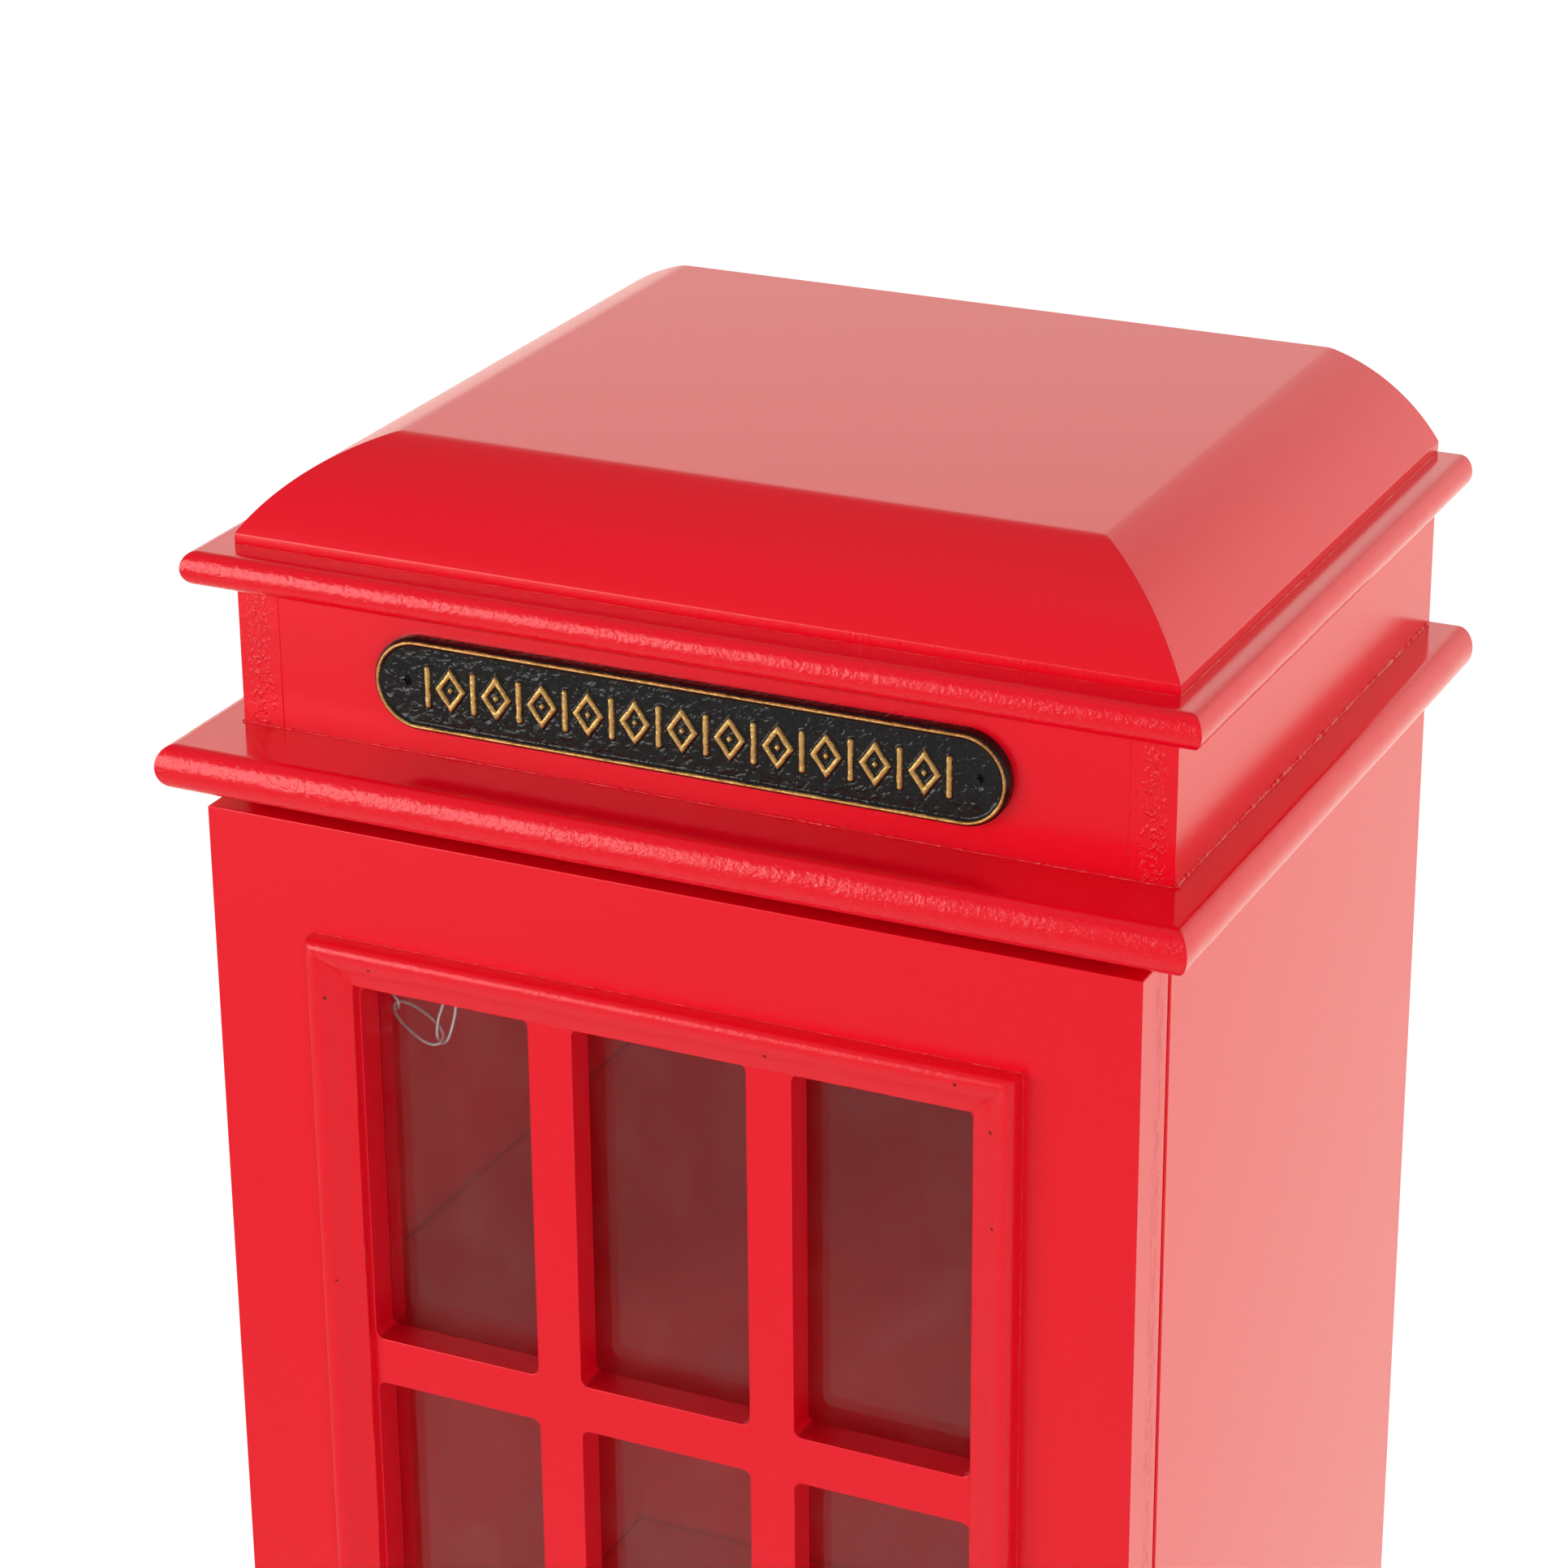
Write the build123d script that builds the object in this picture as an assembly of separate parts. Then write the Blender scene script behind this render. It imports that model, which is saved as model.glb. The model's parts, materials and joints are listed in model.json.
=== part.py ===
from build123d import *
import os
import math

# Glazed display cabinet in the form of a classic red telephone kiosk.
# Units are millimetres. +Z is up, the front faces -Y, and +X is to the right
# seen from the front. The origin is the bottom centre of the overall box, on
# the floor. A "depth" is counted forwards from the rear plane; to_y() turns it
# into Y. A span is a pair of coordinates along one axis, in either order.

# ---------------------------------------------------------------- sizes
OVERALL_DEPTH = 310.0          # rear plane to the tip of the knob
Y_REAR = OVERALL_DEPTH / 2

W_BODY = 340.0                 # outside width of the carcass, frieze and roof
T_BOARD = 16.0                 # main board thickness
T_THIN = 12.0                  # shelves
T_BACK = 3.0                   # hardboard back
D_SIDE = 259.0                 # depth of the side panels
D_FRIEZE = 257.8               # depth of the frieze box and the roof
HALF_W = W_BODY / 2
INNER_W = HALF_W - T_BOARD     # inside half width

H_GLIDE = 4.0
H_PLINTH = 62.0
W_PLINTH = 360.0
D_PLINTH = 283.0

N_COMPARTMENTS = 5
H_COMPARTMENT = 213.0
H_SIDE = N_COMPARTMENTS * H_COMPARTMENT + (N_COMPARTMENTS - 1) * T_THIN
H_FRIEZE = 52.5
T_UPPER = 12.0                 # upper cornice

Z_BASE = H_GLIDE + H_PLINTH    # underside of the base board
Z_FLOOR = Z_BASE + T_BOARD     # inside floor of the cabinet
Z_CORNICE = Z_FLOOR + H_SIDE   # underside of the lower cornice
Z_FRIEZE = Z_CORNICE + T_BOARD # top of the lower cornice
Z_UPPER = Z_FRIEZE + H_FRIEZE  # underside of the upper cornice
Z_ROOF = Z_UPPER + T_UPPER     # underside of the roof

# door, made of a back frame and a front grid panel
D_DOOR_BACK = 261.2
D_DOOR_SPLIT = 272.0           # joint between the two layers
D_DOOR_FRONT = 284.0
Z_DOOR_TOP = Z_FRIEZE - 21.2
Z_DOOR_BOTTOM = Z_FLOOR + 4.0
Z_DOOR_MID = (Z_DOOR_BOTTOM + Z_DOOR_TOP) / 2
KNOB_X = 150.2
KNOB_Z = Z_DOOR_MID + 60.0

CLEAR = 0.05                   # radial clearance round fasteners
PAST = 1.0                     # how far some cutters run past a face
SIDES = (-1, 1)                # left, right


# ---------------------------------------------------------------- helpers
def to_y(depth):
    return Y_REAR - depth


def middle(span):
    return (span[0] + span[1]) / 2


def extent(span):
    return abs(span[1] - span[0])


def box(xs, depths, zs):
    size = Box(extent(xs), extent(depths), extent(zs))
    return Pos(middle(xs), to_y(middle(depths)), middle(zs)) * size


def placing(axis, at, span):
    # location of a turned solid lying along an axis; `at` is
    # (depth, z) for "x", (x, z) for "y" and (x, depth) for "z"
    if axis == "x":
        return Pos(middle(span), to_y(at[0]), at[1]) * Rot(0, 90, 0)
    if axis == "y":
        return Pos(at[0], to_y(middle(span)), at[1]) * Rot(90, 0, 0)
    return Pos(at[0], to_y(at[1]), middle(span))


def rod(axis, at, span, radius):
    # the span is in depths when the axis is "y"
    return placing(axis, at, span) * Cylinder(radius, extent(span))


def cone(axis, at, span, radii):
    # the radii belong to the two ends of the span
    (_, low_radius), (_, high_radius) = sorted(zip(span, radii))
    return placing(axis, at, span) * Cone(low_radius, high_radius, extent(span))


def countersunk(axis, at, head, neck, tip, radius, head_radius, hole_span):
    # a screw and its hole; head, neck and tip are stations along the axis
    head_span = (neck, head)
    screw = rod(axis, at, (neck, tip), radius)
    screw += cone(axis, at, head_span, (radius, head_radius))
    hole = rod(axis, at, hole_span, radius + CLEAR)
    hole += cone(axis, at, head_span, (radius + CLEAR, head_radius + CLEAR))
    return screw, hole


def upright_screws(places, z_head, head_up, length, radius, head_radius):
    # vertical screws, head facing up or down, at (x, depth) places
    way = 1 if head_up else -1
    pairs = [
        countersunk("z", place, z_head, z_head - way * head_radius, z_head - way * length,
                    radius, head_radius, hole_span=(z_head, z_head - way * (length + 1.0)))
        for place in places
    ]
    return zip(*pairs)


def cut(solid, holes):
    for hole in holes:
        solid -= hole
    return solid


def polygon(points):
    return make_face([Line(a, b) for a, b in zip(points, points[1:] + points[:1])])


def front_plane(depth, z=0.0):
    # plane facing forwards, its x to the right and its y up
    return Plane(origin=(0, to_y(depth), z), x_dir=(1, 0, 0), z_dir=(0, -1, 0))


def forward_profile_plane(z):
    # plane across X whose x runs forwards from the rear plane and y runs up
    return Plane(origin=(0, Y_REAR, z), x_dir=(0, -1, 0), z_dir=(-1, 0, 0))


def save(shape, name):
    shape.label = name
    export_step(shape, f"parts/{name}.step")


def group(shapes, name):
    save(Compound(children=list(shapes)), name)


os.makedirs("parts", exist_ok=True)

# ---------------------------------------------------------------- board screws
board_screw_places = [(side * (HALF_W - T_BOARD / 2), depth)
                      for side in SIDES for depth in (40.0, 215.0)]
BOARD_SCREW = dict(length=46.0, radius=2.5, head_radius=4.5)
cornice_screws, cornice_screw_holes = upright_screws(
    board_screw_places, Z_FRIEZE, head_up=True, **BOARD_SCREW)
base_screws, base_screw_holes = upright_screws(
    board_screw_places, Z_BASE, head_up=False, **BOARD_SCREW)
group(cornice_screws, "cornice_screws")
group(base_screws, "base_screws")

roof_screw_places = [(side * 110.0, depth) for side in SIDES for depth in (50.0, 200.0)]
roof_screws, roof_screw_holes = upright_screws(
    roof_screw_places, Z_UPPER, head_up=False, length=32.0, radius=2.0, head_radius=4.0)
group(roof_screws, "roof_screws")

# ---------------------------------------------------------------- shelves
SHELF_TOPS = [Z_CORNICE - k * H_COMPARTMENT - (k - 1) * T_THIN for k in range(1, N_COMPARTMENTS)]
SHELF_DEPTHS = (10.5, 251.0)
SHELF_SIDE_GAP = 0.75
SHELF_EDGE_R = 1.5
PIN_DEPTHS = (45.0, 215.0)
PIN_R = 2.5                    # radius of the pin hole


def shelf(z_top):
    half = INNER_W - SHELF_SIDE_GAP
    board = box((-half, half), SHELF_DEPTHS, (z_top - T_THIN + CLEAR, z_top))
    front_edges = board.edges().filter_by(Axis.X).sort_by(Axis.Y)[:2]
    return fillet(front_edges, SHELF_EDGE_R)


shelf_pins, shelf_pin_holes = [], []
for z_top in SHELF_TOPS:
    for side in SIDES:
        for depth in PIN_DEPTHS:
            at = (depth, z_top - T_THIN - PIN_R)
            pin_span = (side * (INNER_W + 8.0), side * (INNER_W - 9.0))
            hole_span = (side * (INNER_W + 8.5), side * (INNER_W - PAST))
            shelf_pins.append(rod("x", at, pin_span, PIN_R - CLEAR))
            shelf_pin_holes.append(rod("x", at, hole_span, PIN_R))
group(shelf_pins, "shelf_pins")
for i, z_top in enumerate(SHELF_TOPS):
    save(shelf(z_top), f"shelf_{i + 1}")

# ---------------------------------------------------------------- hinges
HINGE_X = -HALF_W - 2.9
HINGE_D = (D_SIDE + D_DOOR_BACK) / 2
HINGE_R = 2.75
HINGE_PIN_R = 1.25
HINGE_L = 50.0
HINGE_END_DISTANCE = 130.0     # outer hinge centres from the ends of the door
HINGE_Z = [Z_DOOR_BOTTOM + HINGE_END_DISTANCE, Z_DOOR_MID, Z_DOOR_TOP - HINGE_END_DISTANCE]
N_KNUCKLES = 5
H_KNUCKLE = HINGE_L / N_KNUCKLES
KNUCKLE_GAP = 0.1              # taken off each end of a knuckle
FRAME_KNUCKLES = (0, 2, 4)     # counted from the bottom
DOOR_KNUCKLES = (1, 3)
LEAF_T = 1.0
FRAME_LEAF = (D_SIDE, D_SIDE + LEAF_T)
DOOR_LEAF = (D_DOOR_BACK - LEAF_T, D_DOOR_BACK)
LEAF_XS = (-HALF_W + 0.2, -HALF_W + 15.0)
LEAF_SCREW_X = -HALF_W + 8.0
LEAF_SCREW_PITCH = 18.0
LEAF_SCREW_R = 1.5
LEAF_SCREW_HEAD_R = 2.5
PIN_HEAD_R = 2.4


def hinge_leaf(z_mid, depths, knuckles):
    z_low, z_high = z_mid - HINGE_L / 2, z_mid + HINGE_L / 2
    leaf = box(LEAF_XS, depths, (z_low, z_high))
    for i in knuckles:
        start = z_low + i * H_KNUCKLE
        span = (start + KNUCKLE_GAP, start + H_KNUCKLE - KNUCKLE_GAP)
        leaf += box((HINGE_X, -HALF_W + 0.4), depths, span)
        leaf += rod("z", (HINGE_X, HINGE_D), span, HINGE_R)
    bore_span = (z_low - PAST, z_high + PAST)
    return leaf - rod("z", (HINGE_X, HINGE_D), bore_span, HINGE_PIN_R + CLEAR)


def leaf_screws(z_mid, head, neck, tip, hole_span):
    # three screws along the depth, through one leaf
    pairs = [
        countersunk("y", (LEAF_SCREW_X, z_mid + i * LEAF_SCREW_PITCH), head, neck, tip,
                    LEAF_SCREW_R, LEAF_SCREW_HEAD_R, hole_span)
        for i in (-1, 0, 1)
    ]
    return zip(*pairs)


def hinge_pin(z_mid):
    half, at = HINGE_L / 2, (HINGE_X, HINGE_D)
    pin = rod("z", at, (z_mid - half - 0.2, z_mid + half + 0.2), HINGE_PIN_R)
    pin += rod("z", at, (z_mid + half + 0.1, z_mid + half + 1.6), PIN_HEAD_R)
    pin += rod("z", at, (z_mid - half - 1.6, z_mid - half - 0.1), PIN_HEAD_R)
    return pin


frame_leaves, frame_leaf_screws, frame_leaf_holes = [], [], []
door_leaves, door_leaf_screws, door_leaf_holes = [], [], []
for z_mid in HINGE_Z:
    # cabinet side: the shank runs back into the edge of the side panel
    screws, holes = leaf_screws(z_mid, head=FRAME_LEAF[1], neck=FRAME_LEAF[0],
                                tip=D_SIDE - 15.0, hole_span=(D_SIDE - 16.0, D_SIDE + 1.5))
    frame_leaves.append(cut(hinge_leaf(z_mid, FRAME_LEAF, FRAME_KNUCKLES), holes))
    frame_leaf_screws += screws
    frame_leaf_holes += holes
    # door side: the shank runs forwards into the door
    screws, holes = leaf_screws(z_mid, head=DOOR_LEAF[0], neck=DOOR_LEAF[1], tip=275.0,
                                hole_span=(260.0, 276.0))
    door_leaves.append(cut(hinge_leaf(z_mid, DOOR_LEAF, DOOR_KNUCKLES), holes))
    door_leaf_screws += screws
    door_leaf_holes += holes
group(frame_leaves, "hinge_frame_leaves")
group(door_leaves, "hinge_door_leaves")
group([hinge_pin(z_mid) for z_mid in HINGE_Z], "hinge_pins")
group(frame_leaf_screws, "hinge_frame_screws")
group(door_leaf_screws, "hinge_door_screws")

# ---------------------------------------------------------------- magnetic catch
# level with the knob, on the inner face of the right side panel
CATCH_FACE = INNER_W - 12.0    # left face of the housing
CATCH_NECK = INNER_W - 10.0
MAGNET_PLAY = 0.1
SLOT_XS = (INNER_W - 9.5, INNER_W - 3.5)
SLOT_REAR = D_SIDE - 18.0
SLOT_HALF_H = 14.0


def about_knob(half_height):
    return KNOB_Z - half_height, KNOB_Z + half_height


catch_screws, catch_holes = zip(*[
    countersunk("x", (D_SIDE - 12.0, KNOB_Z + rise), CATCH_FACE, CATCH_NECK, INNER_W + 11.0,
                radius=1.5, head_radius=3.0, hole_span=(CATCH_FACE - 0.5, INNER_W + 12.0))
    for rise in (-19.0, 19.0)
])
group(catch_screws, "catch_screws")


def catch_housing():
    housing = box((CATCH_FACE, INNER_W), (D_SIDE - 23.0, D_SIDE), about_knob(24.0))
    housing = fillet(housing.edges().filter_by(Axis.Y).sort_by(Axis.X)[:2], 2.0)
    housing -= box(SLOT_XS, (SLOT_REAR, D_SIDE + PAST), about_knob(SLOT_HALF_H))
    return cut(housing, catch_holes)


def catch_magnet():
    return box((SLOT_XS[0] + MAGNET_PLAY, SLOT_XS[1] - MAGNET_PLAY),
               (SLOT_REAR + MAGNET_PLAY, D_SIDE + 1.1), about_knob(SLOT_HALF_H - MAGNET_PLAY))


def catch_strike_plate():
    plate = box((INNER_W - 13.0, INNER_W), (D_DOOR_BACK - 1.0, D_DOOR_BACK), about_knob(18.0))
    return fillet(plate.edges().filter_by(Axis.Y), 1.5)


def door_bumper(z):
    bumper = rod("y", (HALF_W - T_BOARD / 2, z), (D_SIDE, D_DOOR_BACK - 0.1), 4.0)
    return fillet(bumper.edges().sort_by(Axis.Y)[0], 0.8)


save(catch_housing(), "catch_housing")
save(catch_magnet(), "catch_magnet")
save(catch_strike_plate(), "catch_strike_plate")
group([door_bumper(z) for z in (Z_DOOR_TOP - 20.0, Z_DOOR_BOTTOM + 20.0)], "door_bumpers")

# ---------------------------------------------------------------- stay chain
# wire links between a screw eye on the cabinet and one on the door
DOOR_OPEN = 85.0               # degrees, where the chain comes tight
WIRE = 1.4                     # wire diameter
LINK_L = 19.5
LINK_W = 9.4
LINK_PLAY = 0.25
LINK_PITCH = LINK_L - 2 * WIRE - LINK_PLAY
N_LINKS = 3                    # links in each half
FRAME_TWIST = 118.0            # degrees each link is turned from the one before,
DOOR_TWIST = 97.0              # so that the two halves pass clear of each other
EYE_R = 3.6
EYE_SHANK_R = 0.65
RING_OUT = EYE_R + WIRE / 2    # ring centre from the surface it is screwed to
FRAME_RING = Vector(-INNER_W + RING_OUT, to_y(248.0), Z_FRIEZE - 84.0)
DOOR_RING = Vector(-80.0, to_y(D_DOOR_BACK - RING_OUT), Z_FRIEZE - 60.0)
FRAME_SHANK = Vector(-1, 0, 0) # direction of each shank, into the wood
DOOR_SHANK = Vector(0, -1, 0)


def square_to(direction, other):
    # unit vector along the part of a direction square to a unit vector
    return (direction - other * direction.dot(other)).normalized()


def solve_chain():
    # The chain hangs as a V when the door is shut, and is straight at the
    # door's stop; each half turns about its own eye on one fixed axis. The
    # pivots on the rings depend on those axes, so they are found by repetition.
    hinge = Vector(HINGE_X, to_y(HINGE_D), 0)
    frame_pivot, door_pivot = FRAME_RING, DOOR_RING
    for _ in range(30):
        open_pivot = hinge + (door_pivot - hinge).rotate(Axis.Z, -DOOR_OPEN)
        half_chain_l = (open_pivot - frame_pivot).length / 2
        shut_gap = door_pivot - frame_pivot
        half_gap = shut_gap.length / 2
        down = square_to(Vector(0, 0, -1), shut_gap.normalized())
        sag = math.sqrt(half_chain_l ** 2 - half_gap ** 2)
        low = (frame_pivot + door_pivot) * 0.5 + down * sag
        # directions of each half, shut and then open, seen from its own eye
        frame_run = (low - frame_pivot).normalized()
        frame_tight = (open_pivot - frame_pivot).normalized()
        door_run = (low - door_pivot).normalized()
        door_tight = (frame_pivot - open_pivot).normalized().rotate(Axis.Z, DOOR_OPEN)
        frame_axis = frame_run.cross(frame_tight).normalized()
        door_axis = door_run.cross(door_tight).normalized()
        frame_pivot = FRAME_RING - square_to(FRAME_SHANK, frame_axis) * EYE_R
        door_pivot = DOOR_RING - square_to(DOOR_SHANK, door_axis) * EYE_R
    return (frame_pivot, frame_run, frame_axis), (door_pivot, door_run, door_axis)


def oval_wire(length, width, plane):
    # centre line of an oval link: two straights and two half circles
    radius = width / 2
    straight = length / 2 - radius
    tip = straight + radius
    edges = [
        Line((-straight, radius), (straight, radius)),
        ThreePointArc((straight, radius), (tip, 0), (straight, -radius)),
        Line((straight, -radius), (-straight, -radius)),
        ThreePointArc((-straight, -radius), (-tip, 0), (-straight, radius)),
    ]
    return Wire([plane * edge for edge in edges])


def link(center, along, normal):
    plane = Plane(origin=center, x_dir=along, z_dir=normal)
    path = oval_wire(LINK_L - WIRE, LINK_W - WIRE, plane)
    section = Plane(origin=path @ 0, z_dir=path % 0) * Circle(WIRE / 2)
    return sweep(section, path=path)


def half_chain(pivot, run, axis, twist):
    # the first link hooks round the eye and lies square to the turning axis
    across = run.cross(axis).normalized()
    first = (LINK_L - WIRE) / 2 - (WIRE + LINK_PLAY)
    links = []
    for i in range(N_LINKS):
        angle = math.radians(twist * i)
        normal = axis * math.cos(angle) + across * math.sin(angle)
        links.append(link(pivot + run * (first + i * LINK_PITCH), run, normal))
    return links


def screw_eye(center, shank_dir, axis, shank_l):
    # the eye, and the hole for its shank
    normal = shank_dir.cross(axis).normalized()
    ring = Plane(origin=center, z_dir=normal) * Torus(EYE_R, WIRE / 2)
    shank_mid = center + shank_dir * (EYE_R + shank_l / 2)
    shank = Plane(origin=shank_mid, z_dir=shank_dir) * Cylinder(EYE_SHANK_R, shank_l)
    hole_plane = Plane(origin=shank_mid + shank_dir * 0.5, z_dir=shank_dir)
    hole = hole_plane * Cylinder(EYE_SHANK_R + CLEAR, shank_l)
    return ring + shank, hole


frame_half, door_half = solve_chain()
group(half_chain(*frame_half, FRAME_TWIST), "chain_frame_links")
group(half_chain(*door_half, DOOR_TWIST), "chain_door_links")
frame_eye, frame_eye_hole = screw_eye(FRAME_RING, FRAME_SHANK, frame_half[2], 11.0)
door_eye, door_eye_hole = screw_eye(DOOR_RING, DOOR_SHANK, door_half[2], 8.0)
save(frame_eye, "chain_frame_eye")
save(door_eye, "chain_door_eye")

# ---------------------------------------------------------------- carcass
RAIL_DEPTHS = (9.5, 9.5 + T_BOARD)
H_RAIL = 50.0
DOWEL_R = 1.75
BACK_REAR = 6.1                # depth of the rear face of the back panel
wall_holes = [rod("y", (side * 100.0, Z_CORNICE - 28.0), (-PAST, 40.0), 2.5) for side in SIDES]

rail_dowels, rail_dowel_holes = [], []
for side in SIDES:
    at = (middle(RAIL_DEPTHS), Z_CORNICE - 14.0)
    dowel_span = (side * (HALF_W - 3.0), side * (INNER_W - 26.0))
    hole_span = (side * (HALF_W - 2.9), side * (INNER_W - 27.0))
    rail_dowels.append(rod("x", at, dowel_span, DOWEL_R))
    rail_dowel_holes.append(rod("x", at, hole_span, DOWEL_R + CLEAR))
group(rail_dowels, "back_rail_dowels")


def side_panel(side):
    panel = box((side * INNER_W, side * HALF_W), (0.0, D_SIDE), (Z_FLOOR, Z_CORNICE))
    # groove for the back panel
    panel -= box((side * (INNER_W - PAST), side * (INNER_W + 5.0)), (BACK_REAR - 0.1, 9.2),
                 (Z_FLOOR - PAST, Z_CORNICE + PAST))
    shared = [*cornice_screw_holes, *base_screw_holes, *shelf_pin_holes, *rail_dowel_holes]
    panel = cut(panel, [hole for hole in shared if hole.center().X * side > 0])
    if side < 0:
        return cut(panel, [*frame_leaf_holes, frame_eye_hole])
    return cut(panel, catch_holes)


def back_panel():
    half = INNER_W + 4.6
    panel = box((-half, half), (BACK_REAR, BACK_REAR + T_BACK), (Z_FLOOR, Z_CORNICE))
    return cut(panel, wall_holes)


def back_rail():
    rail = box((-INNER_W, INNER_W), RAIL_DEPTHS, (Z_CORNICE - H_RAIL, Z_CORNICE))
    return cut(rail, wall_holes + rail_dowel_holes)


save(side_panel(-1), "side_panel_left")
save(side_panel(1), "side_panel_right")
save(back_panel(), "back_panel")
save(back_rail(), "back_rail")

# ---------------------------------------------------------------- nosed boards
LOWER_HALF_W = HALF_W + 16.5   # the base board and the lower cornice
LOWER_D = D_FRIEZE + 32.7
NOSE_LOWER = 5.6               # how far the rounded nose reaches
UPPER_HALF_W = HALF_W + 12.9
UPPER_D = D_FRIEZE + 15.3
NOSE_UPPER = 4.6
NOSE_STEPS = 16
OVERRUN = 20.0                 # extra length of sections that are intersected


def nose_profile(half, thick, nose, back=None):
    # section of a board with half elliptical noses at +half and -half, or a
    # flat edge at `back` in place of the second nose
    right = []
    for i in range(NOSE_STEPS + 1):
        angle = -math.pi / 2 + math.pi * i / NOSE_STEPS
        right.append((half - nose + nose * math.cos(angle),
                      thick / 2 + thick / 2 * math.sin(angle)))
    edges = [Spline(right, tangents=[(1, 0), (-1, 0)])]
    if back is None:
        left = [(-x, z) for x, z in reversed(right)]
        edges += [Line(right[-1], left[0]), Spline(left, tangents=[(-1, 0), (1, 0)]),
                  Line(left[-1], right[0])]
    else:
        edges += [Line(right[-1], (back, thick)), Line((back, thick), (back, 0)),
                  Line((back, 0), right[0])]
    return make_face(edges)


def nosed_board(half_w, front, z, thick, nose):
    # noses on the front and both ends, flat at the rear
    across = Pos(0, 0, z) * extrude(Plane.XZ * nose_profile(half_w, thick, nose),
                                    amount=front + OVERRUN, both=True)
    along = extrude(forward_profile_plane(z) * nose_profile(front, thick, nose, back=0.0),
                    amount=half_w + OVERRUN, both=True)
    return across & along


base_board = nosed_board(LOWER_HALF_W, LOWER_D, Z_BASE, T_BOARD, NOSE_LOWER)
save(cut(base_board, base_screw_holes), "base_board")
lower_cornice = nosed_board(LOWER_HALF_W, LOWER_D, Z_CORNICE, T_BOARD, NOSE_LOWER)
save(cut(lower_cornice, cornice_screw_holes), "lower_cornice")
upper_cornice = nosed_board(UPPER_HALF_W, UPPER_D, Z_UPPER, T_UPPER, NOSE_UPPER)
save(cut(upper_cornice, roof_screw_holes), "upper_cornice")

# ---------------------------------------------------------------- frieze
# the side boards run through, the front and rear fit between them
PLAQUE_Z = Z_FRIEZE + 26.3
plaque_pin_places = [(side * 104.0, PLAQUE_Z) for side in SIDES]
plaque_pin_holes = [rod("y", place, (D_FRIEZE - 9.0, D_FRIEZE + 8.0), 0.8)
                    for place in plaque_pin_places]
FRIEZE_ZS = (Z_FRIEZE, Z_UPPER)
frieze_front = box((-INNER_W, INNER_W), (D_FRIEZE - T_BOARD, D_FRIEZE), FRIEZE_ZS)
save(cut(frieze_front, plaque_pin_holes), "frieze_front")
save(box((-HALF_W, -INNER_W), (0.0, D_FRIEZE), FRIEZE_ZS), "frieze_left")
save(box((INNER_W, HALF_W), (0.0, D_FRIEZE), FRIEZE_ZS), "frieze_right")
save(box((-INNER_W, INNER_W), (0.0, T_BOARD), FRIEZE_ZS), "frieze_back")

# ---------------------------------------------------------------- roof
H_ROOF_LIP = 3.8
H_ROOF = 33.2
ROOF_INSET = 41.5              # plan width of the curved slope
ROOF_RADIUS = 71.3             # radius of the curved slope


def slope_profile(half, back=None):
    # upright lip, then a circular slope up to the flat top; mirrored to the
    # other side, or flat at `back`
    lip, top = (half, H_ROOF_LIP), (half - ROOF_INSET, H_ROOF)
    rise = H_ROOF - H_ROOF_LIP
    chord = math.hypot(ROOF_INSET, rise)
    bulge = ROOF_RADIUS - math.sqrt(ROOF_RADIUS ** 2 - chord ** 2 / 4)
    mid = ((lip[0] + top[0]) / 2 + rise / chord * bulge,
           (lip[1] + top[1]) / 2 + ROOF_INSET / chord * bulge)
    edges = [Line((half, 0), lip), ThreePointArc(lip, mid, top)]
    if back is None:
        left_lip, left_mid, left_top = [(-x, z) for x, z in (lip, mid, top)]
        edges += [Line(top, left_top), ThreePointArc(left_top, left_mid, left_lip),
                  Line(left_lip, (-half, 0)), Line((-half, 0), (half, 0))]
    else:
        edges += [Line(top, (back, H_ROOF)), Line((back, H_ROOF), (back, 0)),
                  Line((back, 0), (half, 0))]
    return make_face(edges)


def roof_block():
    across = Pos(0, 0, Z_ROOF) * extrude(Plane.XZ * slope_profile(HALF_W),
                                         amount=D_FRIEZE + OVERRUN, both=True)
    along = extrude(forward_profile_plane(Z_ROOF) * slope_profile(D_FRIEZE, back=0.0),
                    amount=HALF_W + OVERRUN, both=True)
    return cut(across & along, roof_screw_holes)


save(roof_block(), "roof_block")

# ---------------------------------------------------------------- plaque
PLAQUE_L, PLAQUE_H, PLAQUE_T = 230.4, 33.0, 4.2
RIM_L, RIM_H = PLAQUE_L - 3.0, PLAQUE_H - 3.0
RIM_W = 1.7
RIM_RISE = 0.9
RELIEF_RISE = 1.0
RELIEF_SINK = 0.2              # overlap of the relief with the plate
LOZENGE_PITCH = 21.0
LOZENGE_SIDE = 9.0


def plaque_ornament():
    # a row of nine lozenges with an upright rounded bar between each pair
    ornament = Sketch()
    for i in range(-4, 5):
        x = i * LOZENGE_PITCH
        ornament += Pos(x, 0) * Rot(0, 0, 45) * Rectangle(LOZENGE_SIDE, LOZENGE_SIDE)
        if i < 4:
            ornament += Pos(x + LOZENGE_PITCH / 2, 0) * SlotOverall(13.0, 2.2, rotation=90)
    return ornament


def plaque():
    plane = front_plane(D_FRIEZE, PLAQUE_Z)
    plate = extrude(plane * SlotOverall(PLAQUE_L, PLAQUE_H), amount=PLAQUE_T)
    plate = fillet(plate.edges().group_by(Axis.Y)[0], 0.8)
    relief_plane = plane.offset(PLAQUE_T - RELIEF_SINK)
    rim = SlotOverall(RIM_L, RIM_H) - SlotOverall(RIM_L - 2 * RIM_W, RIM_H - 2 * RIM_W)
    plate += extrude(relief_plane * rim, amount=RIM_RISE + RELIEF_SINK)
    plate += extrude(relief_plane * plaque_ornament(), amount=RELIEF_RISE + RELIEF_SINK)
    return cut(plate, plaque_pin_holes)


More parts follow.
